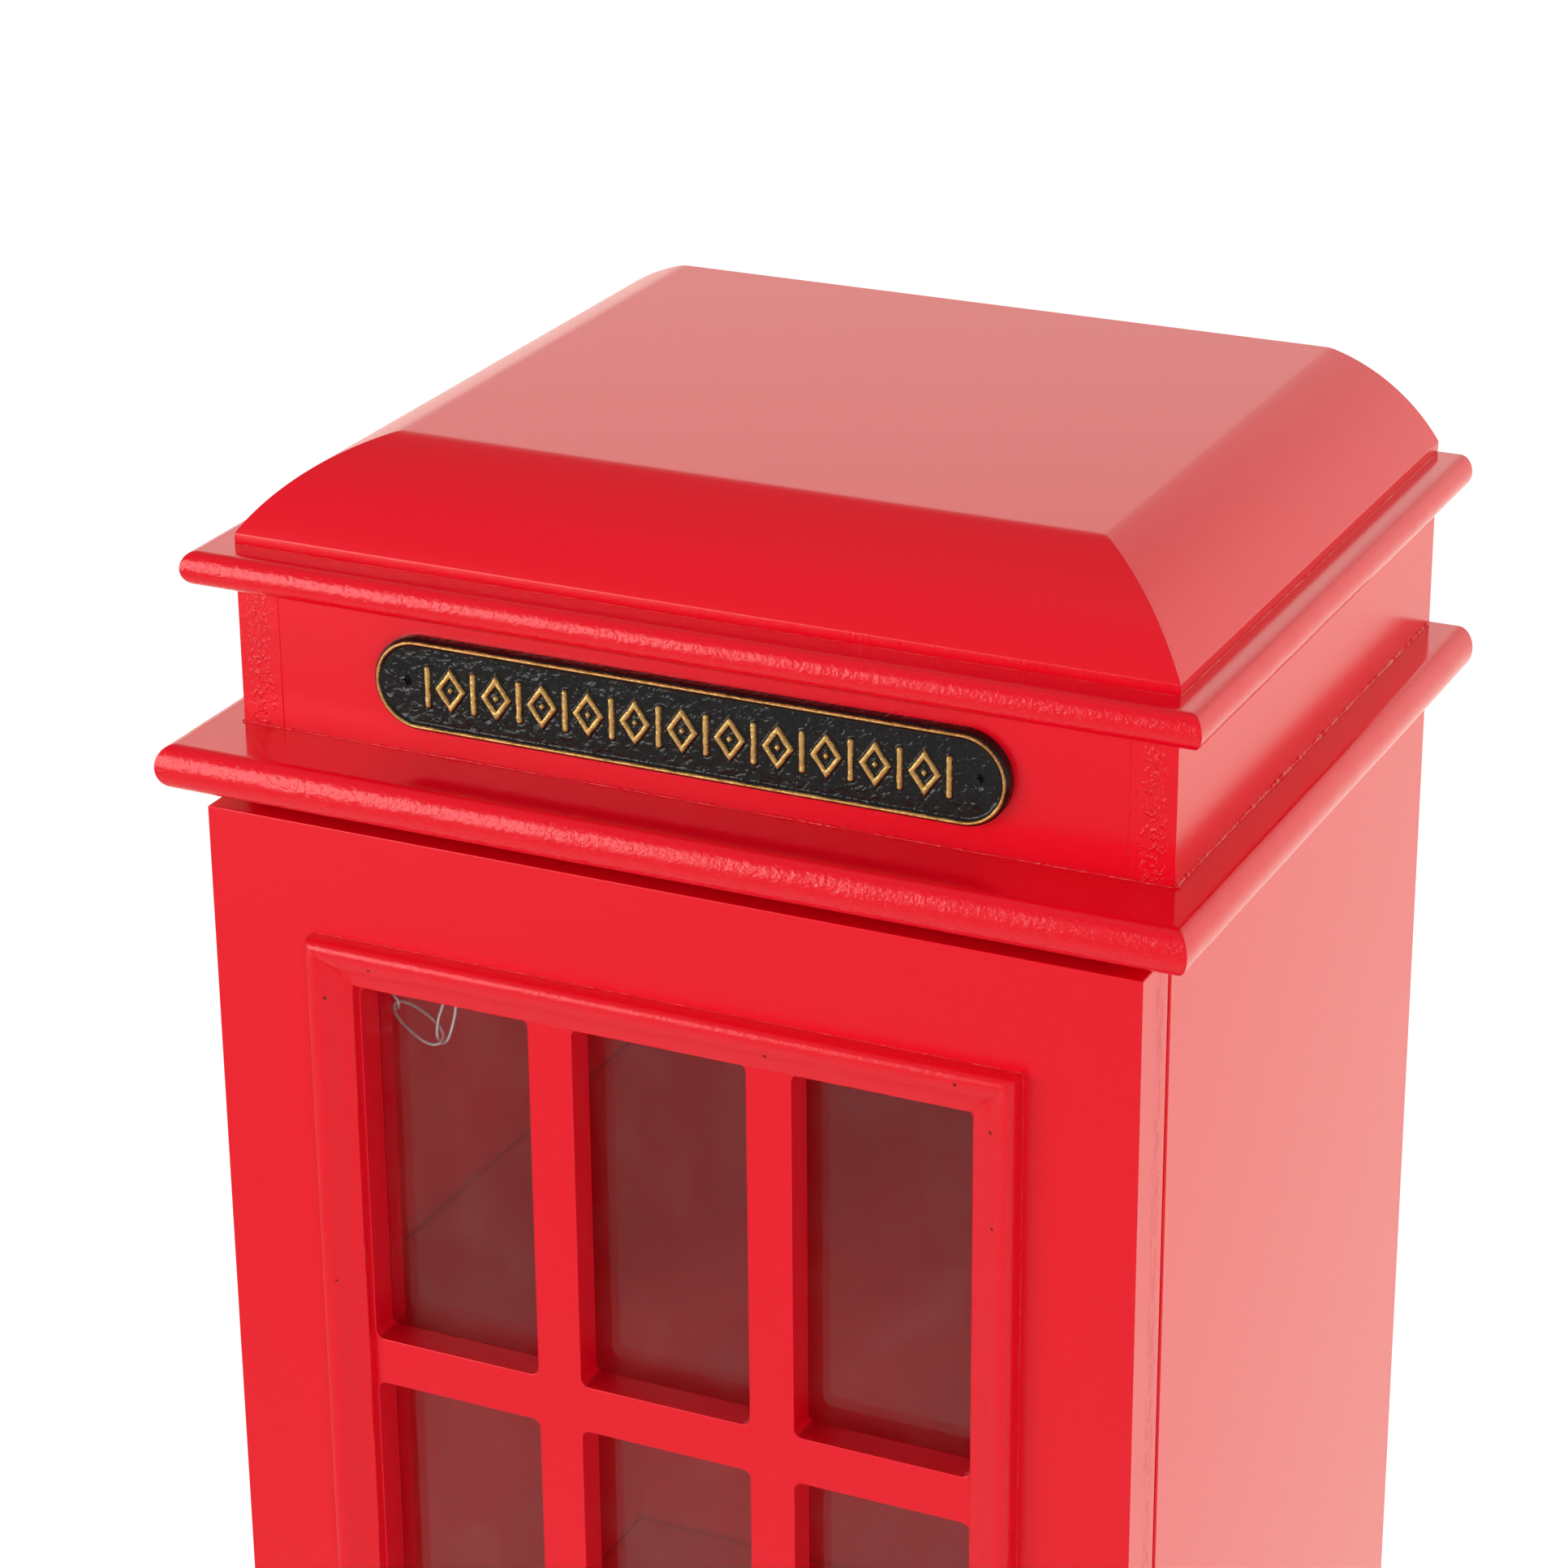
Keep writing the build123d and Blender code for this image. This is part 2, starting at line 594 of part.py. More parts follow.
def plaque_pin(place):
    face = D_FRIEZE + PLAQUE_T
    pin = rod("y", place, (D_FRIEZE - 8.8, face + 0.1), 0.75)
    pin += rod("y", place, (face + 0.02, face + 0.75), 1.6)
    return pin


save(plaque(), "plaque")
group([plaque_pin(place) for place in plaque_pin_places], "plaque_pins")

# ---------------------------------------------------------------- plinth
PLINTH_HALF = W_PLINTH / 2
PLINTH_IN = PLINTH_HALF - T_BOARD
PLINTH_ZS = (H_GLIDE, Z_BASE)
BLOCK_LEG = 30.0
BLOCK_INSET = 6.0              # above and below each corner block
save(box((-PLINTH_IN, PLINTH_IN), (D_PLINTH - T_BOARD, D_PLINTH), PLINTH_ZS), "plinth_front")
save(box((-PLINTH_IN, PLINTH_IN), (0.0, T_BOARD), PLINTH_ZS), "plinth_back")
save(box((-PLINTH_HALF, -PLINTH_IN), (0.0, D_PLINTH), PLINTH_ZS), "plinth_left")
save(box((PLINTH_IN, PLINTH_HALF), (0.0, D_PLINTH), PLINTH_ZS), "plinth_right")


def corner_block(side, depth, way):
    # triangular block; way is +1 when it runs forwards from the corner
    x = side * PLINTH_IN
    triangle = polygon([(x, to_y(depth)), (x - side * BLOCK_LEG, to_y(depth)),
                        (x, to_y(depth + way * BLOCK_LEG))])
    return extrude(Pos(0, 0, H_GLIDE + BLOCK_INSET) * triangle,
                   amount=H_PLINTH - 2 * BLOCK_INSET, dir=(0, 0, 1))


def floor_glide(side, depth):
    glide = rod("z", (side * (PLINTH_HALF - T_BOARD / 2), depth), (0.0, H_GLIDE), 7.5)
    return fillet(glide.edges().sort_by(Axis.Z)[0], 1.5)


group([corner_block(side, depth, way) for side in SIDES
       for depth, way in ((T_BOARD, 1), (D_PLINTH - T_BOARD, -1))], "plinth_blocks")
group([floor_glide(side, depth) for side in SIDES
       for depth in (12.0, D_PLINTH - 12.0)], "floor_glides")

# ---------------------------------------------------------------- door
N_COLUMNS, N_ROWS = 3, 6       # panes
PANE_W, PANE_H = 64.4, 136.4
PANE_R = 3.0
MUNTIN_V, MUNTIN_H = 16.6, 17.8  # widths of the upright and level bars
BEAD_OUT = 130.4               # half widths of the bead frame
BEAD_IN = 114.3
BEAD_W = BEAD_OUT - BEAD_IN
BEAD_H = 8.0
BEAD_TO_PANE = 17.0            # bead's outer edge to the panes, top and bottom
Z_BEAD_TOP = Z_FRIEZE - 61.0
Z_PANE_TOP = Z_BEAD_TOP - BEAD_TO_PANE
Z_PANE_BOTTOM = Z_PANE_TOP - (N_ROWS * PANE_H + (N_ROWS - 1) * MUNTIN_H)
Z_BEAD_BOTTOM = Z_PANE_BOTTOM - BEAD_TO_PANE
PANE_FIELD_W = N_COLUMNS * PANE_W + (N_COLUMNS - 1) * MUNTIN_V

# one glass sheet, in an opening a rebate wider than the panes all round
REBATE = 9.0
OPENING_X = PANE_FIELD_W / 2 + REBATE
OPENING_LOW, OPENING_HIGH = Z_PANE_BOTTOM - REBATE, Z_PANE_TOP + REBATE
GLASS_T = 3.0
GLASS_GAP = 0.5
STOP_W = 8.0
STOP_DEPTHS = (D_DOOR_BACK + 0.3, D_DOOR_SPLIT - GLASS_T)
BRAD_R = 0.6
BRAD_L = 15.0
BRAD_INSET = 0.2               # brad head below the stop's inner edge

knob_screw, knob_screw_hole = countersunk(
    "y", (KNOB_X, KNOB_Z), head=D_DOOR_BACK, neck=D_DOOR_BACK + 2.0, tip=D_DOOR_FRONT + 13.0,
    radius=2.0, head_radius=4.0, hole_span=(260.0, 290.0))
save(knob_screw, "knob_screw")


def door_grid_panel():
    outline = Pos(0, Z_DOOR_MID) * Rectangle(W_BODY, Z_DOOR_TOP - Z_DOOR_BOTTOM)
    panes = Sketch()
    for column in (-1, 0, 1):
        for row in range(N_ROWS):
            z = Z_PANE_TOP - PANE_H / 2 - row * (PANE_H + MUNTIN_H)
            place = Pos(column * (PANE_W + MUNTIN_V), z)
            panes += place * RectangleRounded(PANE_W, PANE_H, PANE_R)
    grid = extrude(front_plane(D_DOOR_SPLIT) * (outline - panes),
                   amount=D_DOOR_FRONT - D_DOOR_SPLIT)
    return cut(grid, [knob_screw_hole, *door_leaf_holes])


def door_glass():
    half = OPENING_X - GLASS_GAP
    return box((-half, half), (D_DOOR_SPLIT - GLASS_T, D_DOOR_SPLIT),
               (OPENING_LOW + GLASS_GAP, OPENING_HIGH - GLASS_GAP))


def brad(axis, at, start, way):
    # small pin through a glass stop into the frame, and its hole
    low, high = sorted((start, start + way * BRAD_L))
    return (rod(axis, at, (low, high), BRAD_R),
            rod(axis, at, (low - 0.2, high + 0.2), BRAD_R + CLEAR))


def stop_brads():
    depth = middle(STOP_DEPTHS)
    inset = STOP_W - BRAD_INSET
    first, last = OPENING_LOW + 90.0, OPENING_HIGH - 90.0
    pairs = [brad("x", (depth, first + i * (last - first) / 3), side * (OPENING_X - inset), side)
             for side in SIDES for i in range(4)]
    pairs += [brad("z", (x, depth), start, way)
              for way, start in ((-1, OPENING_LOW + inset), (1, OPENING_HIGH - inset))
              for x in (-70.0, 70.0)]
    return zip(*pairs)


brads, brad_holes = stop_brads()


def door_back_frame():
    frame = box((-HALF_W, HALF_W), (D_DOOR_BACK, D_DOOR_SPLIT), (Z_DOOR_BOTTOM, Z_DOOR_TOP))
    frame -= box((-OPENING_X, OPENING_X), (D_DOOR_BACK - PAST, D_DOOR_SPLIT + PAST),
                 (OPENING_LOW, OPENING_HIGH))
    return cut(frame, [knob_screw_hole, *door_leaf_holes, door_eye_hole, *brad_holes])


save(door_grid_panel(), "door_grid_panel")
save(door_back_frame(), "door_back_frame")
save(door_glass(), "door_glass")
group(brads, "glass_stop_pins")

# glass stops: name, x span, z span
STOP_IN = OPENING_X - STOP_W
GLASS_STOPS = [
    ("left", (-OPENING_X, -STOP_IN), (OPENING_LOW, OPENING_HIGH)),
    ("right", (STOP_IN, OPENING_X), (OPENING_LOW, OPENING_HIGH)),
    ("top", (-STOP_IN, STOP_IN), (OPENING_HIGH - STOP_W, OPENING_HIGH)),
    ("bottom", (-STOP_IN, STOP_IN), (OPENING_LOW, OPENING_LOW + STOP_W)),
]
for name, xs, zs in GLASS_STOPS:
    save(cut(box(xs, STOP_DEPTHS, zs), brad_holes), f"glass_stop_{name}")


# ---------------------------------------------------------------- bead
def bead_section():
    # x from the outer to the inner edge, y forwards from the door face
    inner_h = 3.0
    crest = (3.0, BEAD_H)
    shoulder = (0, BEAD_H - 2.8)
    slope = [crest, (6.5, BEAD_H - 0.7), (11.0, BEAD_H - 2.9), (BEAD_W, inner_h)]
    return make_face([
        Line((0, 0), shoulder),
        ThreePointArc(shoulder, (0.9, BEAD_H - 0.75), crest),
        Spline(slope, tangents=[(1, 0), (1, -0.35)]),
        Line((BEAD_W, inner_h), (BEAD_W, 0)),
        Line((BEAD_W, 0), (0, 0)),
    ])


def bead(x, z, inward, run, half_l, corners):
    # moulding centred at (x, z) on its outer edge, mitred to the corners
    section_plane = Plane(origin=(x, to_y(D_DOOR_FRONT), z), x_dir=inward, z_dir=run)
    moulding = extrude(section_plane * bead_section(), amount=half_l, both=True)
    mitre = extrude(front_plane(D_DOOR_FRONT) * polygon(corners), amount=20, both=True)
    return moulding & mitre


def level_bead(z, way):
    # way is +1 for the top bead and -1 for the bottom one
    z_in = z - way * BEAD_W
    corners = [(-BEAD_OUT, z), (BEAD_OUT, z), (BEAD_IN, z_in), (-BEAD_IN, z_in)]
    return bead(0, z, (0, 0, -way), (-way, 0, 0), BEAD_OUT, corners)


def upright_bead(side):
    x, x_in = side * BEAD_OUT, side * BEAD_IN
    corners = [(x, Z_BEAD_BOTTOM), (x, Z_BEAD_TOP),
               (x_in, Z_BEAD_TOP - BEAD_W), (x_in, Z_BEAD_BOTTOM + BEAD_W)]
    zs = (Z_BEAD_BOTTOM, Z_BEAD_TOP)
    return bead(x, middle(zs), (-side, 0, 0), (0, 0, side), extent(zs) / 2, corners)


save(level_bead(Z_BEAD_TOP, 1), "bead_top")
save(level_bead(Z_BEAD_BOTTOM, -1), "bead_bottom")
save(upright_bead(-1), "bead_left")
save(upright_bead(1), "bead_right")

# ---------------------------------------------------------------- knob
ROSETTE_T = 2.0
knob_bore = rod("y", (KNOB_X, KNOB_Z), (D_DOOR_FRONT - PAST, D_DOOR_FRONT + 14.0), 2.0 + CLEAR)


def door_knob():
    # turned mushroom knob; points are (radius, y from the door face), and
    # forwards is negative
    base, foot, rim, tip = (6.2, -ROSETTE_T), (5.0, -4.0), (12.2, -16.0), (0.0, -26.0)
    profile = make_face([
        Line((0, -ROSETTE_T), base),
        Line(base, foot),
        Spline([foot, (4.4, -9.0), (6.5, -13.5), rim], tangents=[(0, -1), (1, -0.15)]),
        Spline([rim, (13.6, -18.2), (11.0, -22.8), (5.5, -25.4), tip],
               tangents=[(1, -0.6), (-1, 0)]),
        Line(tip, (0, -ROSETTE_T)),
    ])
    center = (KNOB_X, to_y(D_DOOR_FRONT), KNOB_Z)
    plane = Plane(origin=center, x_dir=(1, 0, 0), z_dir=(0, 0, 1))
    return revolve(plane * profile, Axis(center, (0, -1, 0)), 360) - knob_bore


def knob_rosette():
    disc = rod("y", (KNOB_X, KNOB_Z), (D_DOOR_FRONT, D_DOOR_FRONT + ROSETTE_T), 10.0)
    return fillet(disc.edges().sort_by(Axis.Y)[0], 1.2) - knob_bore


save(door_knob(), "door_knob")
save(knob_rosette(), "knob_rosette")
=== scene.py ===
# A red lacquered cabinet with a hipped roof, moulded cornices, a frieze with a gilt
# plaque, and a glazed door of three by six panes held by a stay chain.
# It stands on z = 0, centred on x, with its front towards -y. Mesh sizes are in mm
# unless a name or comment says otherwise; Blender's own unit is the metre.
import json
import math

import bmesh
import bpy
import numpy as np
from mathutils import Matrix, Vector, noise


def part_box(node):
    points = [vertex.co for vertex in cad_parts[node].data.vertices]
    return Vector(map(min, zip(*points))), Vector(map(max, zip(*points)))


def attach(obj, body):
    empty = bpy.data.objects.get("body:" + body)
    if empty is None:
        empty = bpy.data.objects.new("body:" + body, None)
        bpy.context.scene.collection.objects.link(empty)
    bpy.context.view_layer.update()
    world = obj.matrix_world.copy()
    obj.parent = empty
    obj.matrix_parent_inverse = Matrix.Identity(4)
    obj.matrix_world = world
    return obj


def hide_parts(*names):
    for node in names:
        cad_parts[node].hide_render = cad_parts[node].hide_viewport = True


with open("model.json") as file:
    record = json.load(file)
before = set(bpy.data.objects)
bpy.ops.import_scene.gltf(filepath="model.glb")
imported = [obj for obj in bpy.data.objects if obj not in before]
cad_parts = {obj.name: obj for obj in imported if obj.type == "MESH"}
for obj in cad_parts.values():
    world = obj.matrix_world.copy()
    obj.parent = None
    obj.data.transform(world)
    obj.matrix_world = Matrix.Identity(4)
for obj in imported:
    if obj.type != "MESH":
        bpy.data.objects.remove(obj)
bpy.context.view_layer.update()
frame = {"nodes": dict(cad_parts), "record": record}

NODES = frame["nodes"]
RECORD = frame["record"]
SLOT = {part["node"]: part["material_slot"] for part in RECORD["subparts"]}
BODY = {node: body for body, nodes in RECORD["behaviour"]["bodies"].items() for node in nodes}
SCENE = bpy.context.scene
MM = 0.001
UM = 1e-6


# ------------------------------------------------------------ node helpers
class Nodes:
    """Builds a shader node tree. Texture sizes are in mm."""

    def __init__(self, tree, output_kind):
        self.tree = tree
        tree.nodes.clear()
        self.output = self.make(output_kind)
        self.position = None

    def make(self, kind, inputs=None, **settings):
        node = self.tree.nodes.new("ShaderNode" + kind)
        for setting, value in settings.items():
            setattr(node, setting, value)
        for key, value in (inputs or {}).items():
            self.put(node.inputs[key], value)
        return node

    def put(self, socket, value):
        """Links a socket, or sets a value; colours may leave out alpha."""
        if isinstance(value, bpy.types.NodeSocket):
            self.tree.links.new(value, socket)
        elif value is not None:
            if socket.type == "RGBA" and len(value) == 3:
                value = (*value, 1.0)
            socket.default_value = value

    def math(self, operation, first, second=None):
        return self.make("Math", {0: first, 1: second}, operation=operation).outputs[0]

    def add(self, first, second):
        return self.math("ADD", first, second)

    def sub(self, first, second):
        return self.math("SUBTRACT", first, second)

    def mul(self, first, second):
        return self.math("MULTIPLY", first, second)

    def abs(self, value):
        return self.math("ABSOLUTE", value)

    def centred(self, value):
        """Shifts a 0 to 1 texture to lie about zero."""
        return self.sub(value, 0.5)

    def length(self, first, second):
        squares = self.add(self.mul(first, first), self.mul(second, second))
        return self.math("SQRT", squares)

    def pos(self):
        if self.position is None:
            self.position = self.make("TexCoord").outputs["Object"]
        return self.position

    def axes(self, vector):
        return self.make("SeparateXYZ", {0: vector}).outputs

    def stretched(self, x=1.0, z=1.0):
        """Object position scaled on x and z; below 1 draws a texture out."""
        return self.make("Mapping", {"Vector": self.pos(), "Scale": (x, 1.0, z)}).outputs[0]

    def noise(self, size, detail=2.0, roughness=0.5, at=None, warp=0.0, offset=0.0):
        return self.make("TexNoise", {
            "Vector": at or self.pos(), "W": offset, "Scale": 1000.0 / size, "Detail": detail,
            "Roughness": roughness, "Distortion": warp,
        }, noise_dimensions="4D").outputs["Fac"]

    def cells(self, size, at=None):
        return self.make("TexVoronoi", {"Vector": at or self.pos(), "Scale": 1000.0 / size})

    def ramp(self, value, over, give=(0.0, 1.0)):
        """Smooth step of value across the range `over`, out to the range `give`."""
        return self.make("MapRange", {
            "Value": value, "From Min": over[0], "From Max": over[1],
            "To Min": give[0], "To Max": give[1],
        }, interpolation_type="SMOOTHSTEP").outputs["Result"]

    def mix(self, factor, first, second):
        inputs = {"Factor": factor, 6: first, 7: second}
        return self.make("Mix", inputs, data_type="RGBA").outputs[2]

    def mix_value(self, factor, first, second):
        inputs = {"Factor": factor, 2: first, 3: second}
        return self.make("Mix", inputs, data_type="FLOAT").outputs[0]

    def mix_shader(self, factor, first, second):
        return self.make("MixShader", {0: factor, 1: first, 2: second}).outputs[0]

    def level(self, levels, name):
        node = self.make("Value")
        node.name = "level_" + name
        node.outputs[0].default_value = levels[name]
        return node.outputs[0]

    def bump(self, height):
        inputs = {"Strength": 1.0, "Distance": 1.0, "Height": height}
        return self.make("Bump", inputs).outputs["Normal"]

    def bsdf(self, color, roughness, height=None, metallic=0.0, specular=0.5):
        normal = None if height is None else self.bump(height)
        return self.make("BsdfPrincipled", {
            "Base Color": color, "Roughness": roughness, "Metallic": metallic, "IOR": 1.5,
            "Specular IOR Level": specular, "Coat Roughness": 0.1,
            "Normal": normal, "Coat Normal": normal,
        }).outputs["BSDF"]

    def finish(self, shader):
        self.put(self.output.inputs["Surface"], shader)


class Mat(Nodes):
    """A procedural material."""

    def __init__(self, name):
        self.mat = bpy.data.materials.new(name)
        self.mat.use_nodes = True
        super().__init__(self.mat.node_tree, "OutputMaterial")

    def done(self, shader):
        self.finish(shader)
        return self.mat


def tint(color, factor):
    return tuple(min(1.0, c * factor) for c in color)


# ------------------------------------------------------------ red lacquer
RED = (0.868, 0.0012, 0.0150)
# x, z, radius
PIN_HOLES = [
    (-122.9, 1129.5, 0.55), (-105.1, 1143.2, 0.5), (42.2, 1140.7, 0.6), (110.1, 1145.3, 0.6),
    (121.8, 1129.9, 0.6), (122.9, 1095.8, 0.5), (-123.9, 1020.5, 0.4),
]
# In metres: where the end grain shows most, and the y and half width of the board joint.
CORE_X = 0.1622
JOINT_Y, JOINT_REACH = -0.1135, 0.0052


def undulation(mat, wave):
    """Long soft waves of the coat, or a barely visible texture on flat faces."""
    if wave > 0:
        return mat.mul(mat.centred(mat.noise(size=17.0, offset=1.3)), 30.0 * wave * UM)
    return mat.mul(mat.noise(size=0.8, detail=1.0, offset=1.3), 0.5 * UM)


def orange_peel(mat, height, peel, size, flat, plain):
    skin = mat.noise(size=size, detail=1.5, roughness=0.45, warp=0.25, offset=4.1)
    # flat faces keep one strength, or slow noise shows there as contour lines
    patch = 0.9
    if not flat:
        slow = mat.noise(size=26.0, roughness=0.6, offset=9.0)
        patch = mat.ramp(slow, over=(0.30, 0.70), give=(0.55, 1.2))
    height = mat.add(height, mat.mul(mat.mul(mat.centred(skin), patch), peel * UM))
    if plain:
        return height
    wrinkle = mat.noise(size=size * 0.45, detail=1.0, roughness=0.4, warp=0.6, offset=2.2)
    return mat.add(height, mat.mul(mat.ramp(wrinkle, over=(0.54, 0.74)), peel * 0.2 * UM))


def end_grain(mat, grain, near_core):
    """Raised fibres under the paint, fainter away from x = +-CORE_X if near_core."""
    fibres = mat.noise(size=1.3, roughness=0.6, at=mat.stretched(z=0.6), warp=0.3, offset=5.5)
    height = mat.mul(mat.ramp(fibres, over=(0.47, 0.68)), grain * UM)
    if near_core:
        away = mat.abs(mat.sub(mat.abs(mat.axes(mat.pos())[0]), CORE_X))
        ragged = mat.centred(mat.noise(size=6.0, roughness=0.6, offset=13.0))
        away = mat.add(away, mat.mul(ragged, 0.004))
        height = mat.mul(height, mat.ramp(away, over=(0.0055, 0.0020), give=(0.12, 1.0)))
    return height


def lacquer_color(mat, base, flat, plain):
    low, high = (1.0, 1.0) if flat else (0.985, 1.015)
    slow = mat.noise(size=60.0, detail=3.0, roughness=0.55, offset=3.3)
    color = mat.mix(slow, tint(base, low), tint(base, high))
    mottle = mat.noise(size=14.0 if plain else 1.1, roughness=0.6, offset=6.6)
    cooler = tuple(c * factor for c, factor in zip(base, (0.955, 1.0, 1.1)))
    return mat.mix(mat.ramp(mottle, over=(0.3, 0.75), give=(0.0, 0.6)), color, cooler)


def scattered_spots(mat, size, channel, share, over, at=None):
    """Small round spots in a share of large cells, picked by a channel of cell colour."""
    cells = mat.cells(size=size, at=at)
    cell_color = mat.make("SeparateColor", {0: cells.outputs["Color"]}).outputs
    picked = mat.math("GREATER_THAN", cell_color[channel], 1.0 - share)
    return mat.mul(mat.ramp(cells.outputs["Distance"], over=over), picked)


def pin_hole(mat, height, color, x, z, radius):
    """A dent with a raised rim of paint; the dark dot in it is painted shade."""
    where = mat.axes(mat.pos())
    distance = mat.length(mat.sub(where[0], x * MM), mat.sub(where[2], z * MM))
    unit = radius * MM
    dot = mat.ramp(distance, over=(1.25 * unit, 0.55 * unit))
    rim = mat.mul(mat.ramp(distance, over=(2.4 * unit, 1.3 * unit)), mat.sub(1.0, dot))
    relief = mat.add(mat.mul(dot, -260.0 * UM), mat.mul(rim, 45.0 * UM))
    # the dark dot mixed into the colour is painted shade inside the hole
    return mat.add(height, relief), mat.mix(dot, color, (0.09, 0.0, 0.004))


def joint_fibres(mat):
    """Mask of raised fibres along the joint of two layers of board."""
    away = mat.abs(mat.sub(mat.axes(mat.pos())[1], JOINT_Y))
    ragged = mat.centred(mat.noise(size=9.0, detail=3.0, roughness=0.6, offset=14.0))
    wide = mat.add(away, mat.mul(ragged, 0.005))
    band = mat.ramp(wide, over=(JOINT_REACH, JOINT_REACH * 0.35))
    fibres = mat.noise(size=1.1, detail=4.0, roughness=0.75, at=mat.stretched(z=0.22),
                       warp=0.4, offset=15.0)
    return mat.mul(band, mat.ramp(fibres, over=(0.46, 0.66)))


def paint(name, peel, peel_size, roughness, fine=0.0, wave=0.0, pits=0.0, specks=0.0,
          grain=0.0, near_core=False, ribs=0.0, fuzz=0.0, base=RED, joint=False,
          plain=False, holes=()):
    """Semi-gloss lacquer. peel, grain, ribs and fuzz are heights in micrometres,
    fine and wave are strengths, pits and specks are shares of cells."""
    mat = Mat(name)
    flat = wave <= 0
    height = orange_peel(mat, undulation(mat, wave), peel, peel_size, flat, plain)
    if ribs:
        # short upright ridges left by the spray on a narrow edge
        upright = mat.noise(size=1.15, roughness=0.6, at=mat.stretched(z=0.14), warp=0.2,
                            offset=3.9)
        height = mat.add(height, mat.mul(upright, ribs * UM))
    if fine:
        texture = mat.noise(size=0.95, roughness=0.55, offset=7.7)
        height = mat.add(height, mat.mul(texture, 4.2 * fine * UM))
    if grain:
        height = mat.add(height, end_grain(mat, grain, near_core))
    if fuzz:
        fluff = mat.noise(size=0.62, roughness=0.7, warp=0.8, offset=8.8)
        height = mat.add(height, mat.mul(mat.ramp(fluff, over=(0.5, 0.8)), fuzz * UM))
    color = lacquer_color(mat, base, flat, plain)
    if pits:
        pit = scattered_spots(mat, size=34.0, channel=0, share=pits, over=(0.019, 0.008))
        height = mat.add(height, mat.mul(pit, -160.0 * UM))
        # the dark colour in each pit is painted shade inside the dent
        color = mat.mix(pit, color, (0.12, 0.0, 0.004))
    for hole in holes:
        height, color = pin_hole(mat, height, color, *hole)
    if specks:
        speck = scattered_spots(mat, size=21.0, channel=1, share=specks, over=(0.02, 0.004),
                                at=mat.stretched())
        height = mat.add(height, mat.mul(speck, 90.0 * UM))
    dull, bright = (1.0, 1.0) if flat else (0.94, 1.07)
    gloss = mat.ramp(mat.noise(size=45.0, roughness=0.6, offset=11.0), over=(0.3, 0.7),
                     give=(roughness * dull, roughness * bright))
    if joint:
        fibres = joint_fibres(mat)
        height = mat.add(height, mat.mul(fibres, 60.0 * UM))
        color = mat.mix(mat.mul(fibres, 0.6), color, (0.72, 0.004, 0.02))
        gloss = mat.mix_value(mat.mul(fibres, 0.7), gloss, 0.42)
    return mat.done(mat.bsdf(color, gloss, height))


PAINT_FACE = paint("paint_face", peel=30.0, peel_size=2.1, fine=1.6, roughness=0.26,
                   pits=0.10, specks=0.15)
PAINT_SIDE = paint("paint_side", peel=7.0, peel_size=3.4, fine=0.4, roughness=0.17,
                   pits=0.10, specks=0.2)
PAINT_ROOF = paint("paint_roof", peel=5.0, peel_size=2.0, fine=1.5, roughness=0.27,
                   pits=0.08, specks=0.2)
PAINT_NOSE = paint("paint_nose", peel=250.0, peel_size=2.0, fine=2.0, wave=2.0,
                   roughness=0.22)
PAINT_NOSE_SIDE = paint("paint_nose_side", peel=60.0, peel_size=2.2, fine=0.8, wave=1.0,
                        roughness=0.2)
PAINT_LEDGE = paint("paint_ledge", peel=4.0, peel_size=2.8, fine=0.2, roughness=0.12,
                    specks=0.1)
PAINT_BEAD = paint("paint_bead_pinned", peel=190.0, peel_size=1.8, fine=1.8, wave=1.6,
                   roughness=0.29, pits=0.2, holes=PIN_HOLES)
PAINT_GRAIN = paint("paint_end_grain", peel=46.0, peel_size=1.9, fine=1.6, wave=1.0,
                    roughness=0.22, grain=230.0, near_core=True)
PAINT_BUILD = paint("paint_build_up", peel=110.0, peel_size=1.9, fine=1.6, wave=1.0,
                    roughness=0.2, grain=200.0)
PAINT_FRIEZE = paint("paint_frieze", peel=42.0, peel_size=2.1, fine=1.4, roughness=0.22,
                     specks=0.1)
PAINT_EDGE = paint("paint_edge", peel=45.0, peel_size=1.8, fine=1.4, wave=0.8,
                   roughness=0.24)
PAINT_LIP = paint("paint_lip", peel=30.0, peel_size=1.6, fine=1.4, wave=0.8,
                  roughness=0.24, ribs=150.0)
# the darker base colour of the up-facing pane sills is painted shade
PAINT_SILL_SHADED = paint("paint_pane_sill_painted_shade", peel=40.0, peel_size=1.6, fine=3.0, roughness=0.36,
                   fuzz=30.0, base=(0.60, 0.0008, 0.0100))
PAINT_WALL = paint("paint_pane_wall", peel=22.0, peel_size=1.5, fine=3.0, wave=0.6,
                   roughness=0.34)
PAINT_DOOR_EDGE = paint("paint_door_edge", peel=14.0, peel_size=2.0, fine=1.4, wave=0.8,
                        roughness=0.22, joint=True)
PAINT_INSIDE = paint("paint_inside", peel=6.0, peel_size=6.0, roughness=0.5,
                     base=(0.90, 0.0030, 0.016), plain=True)


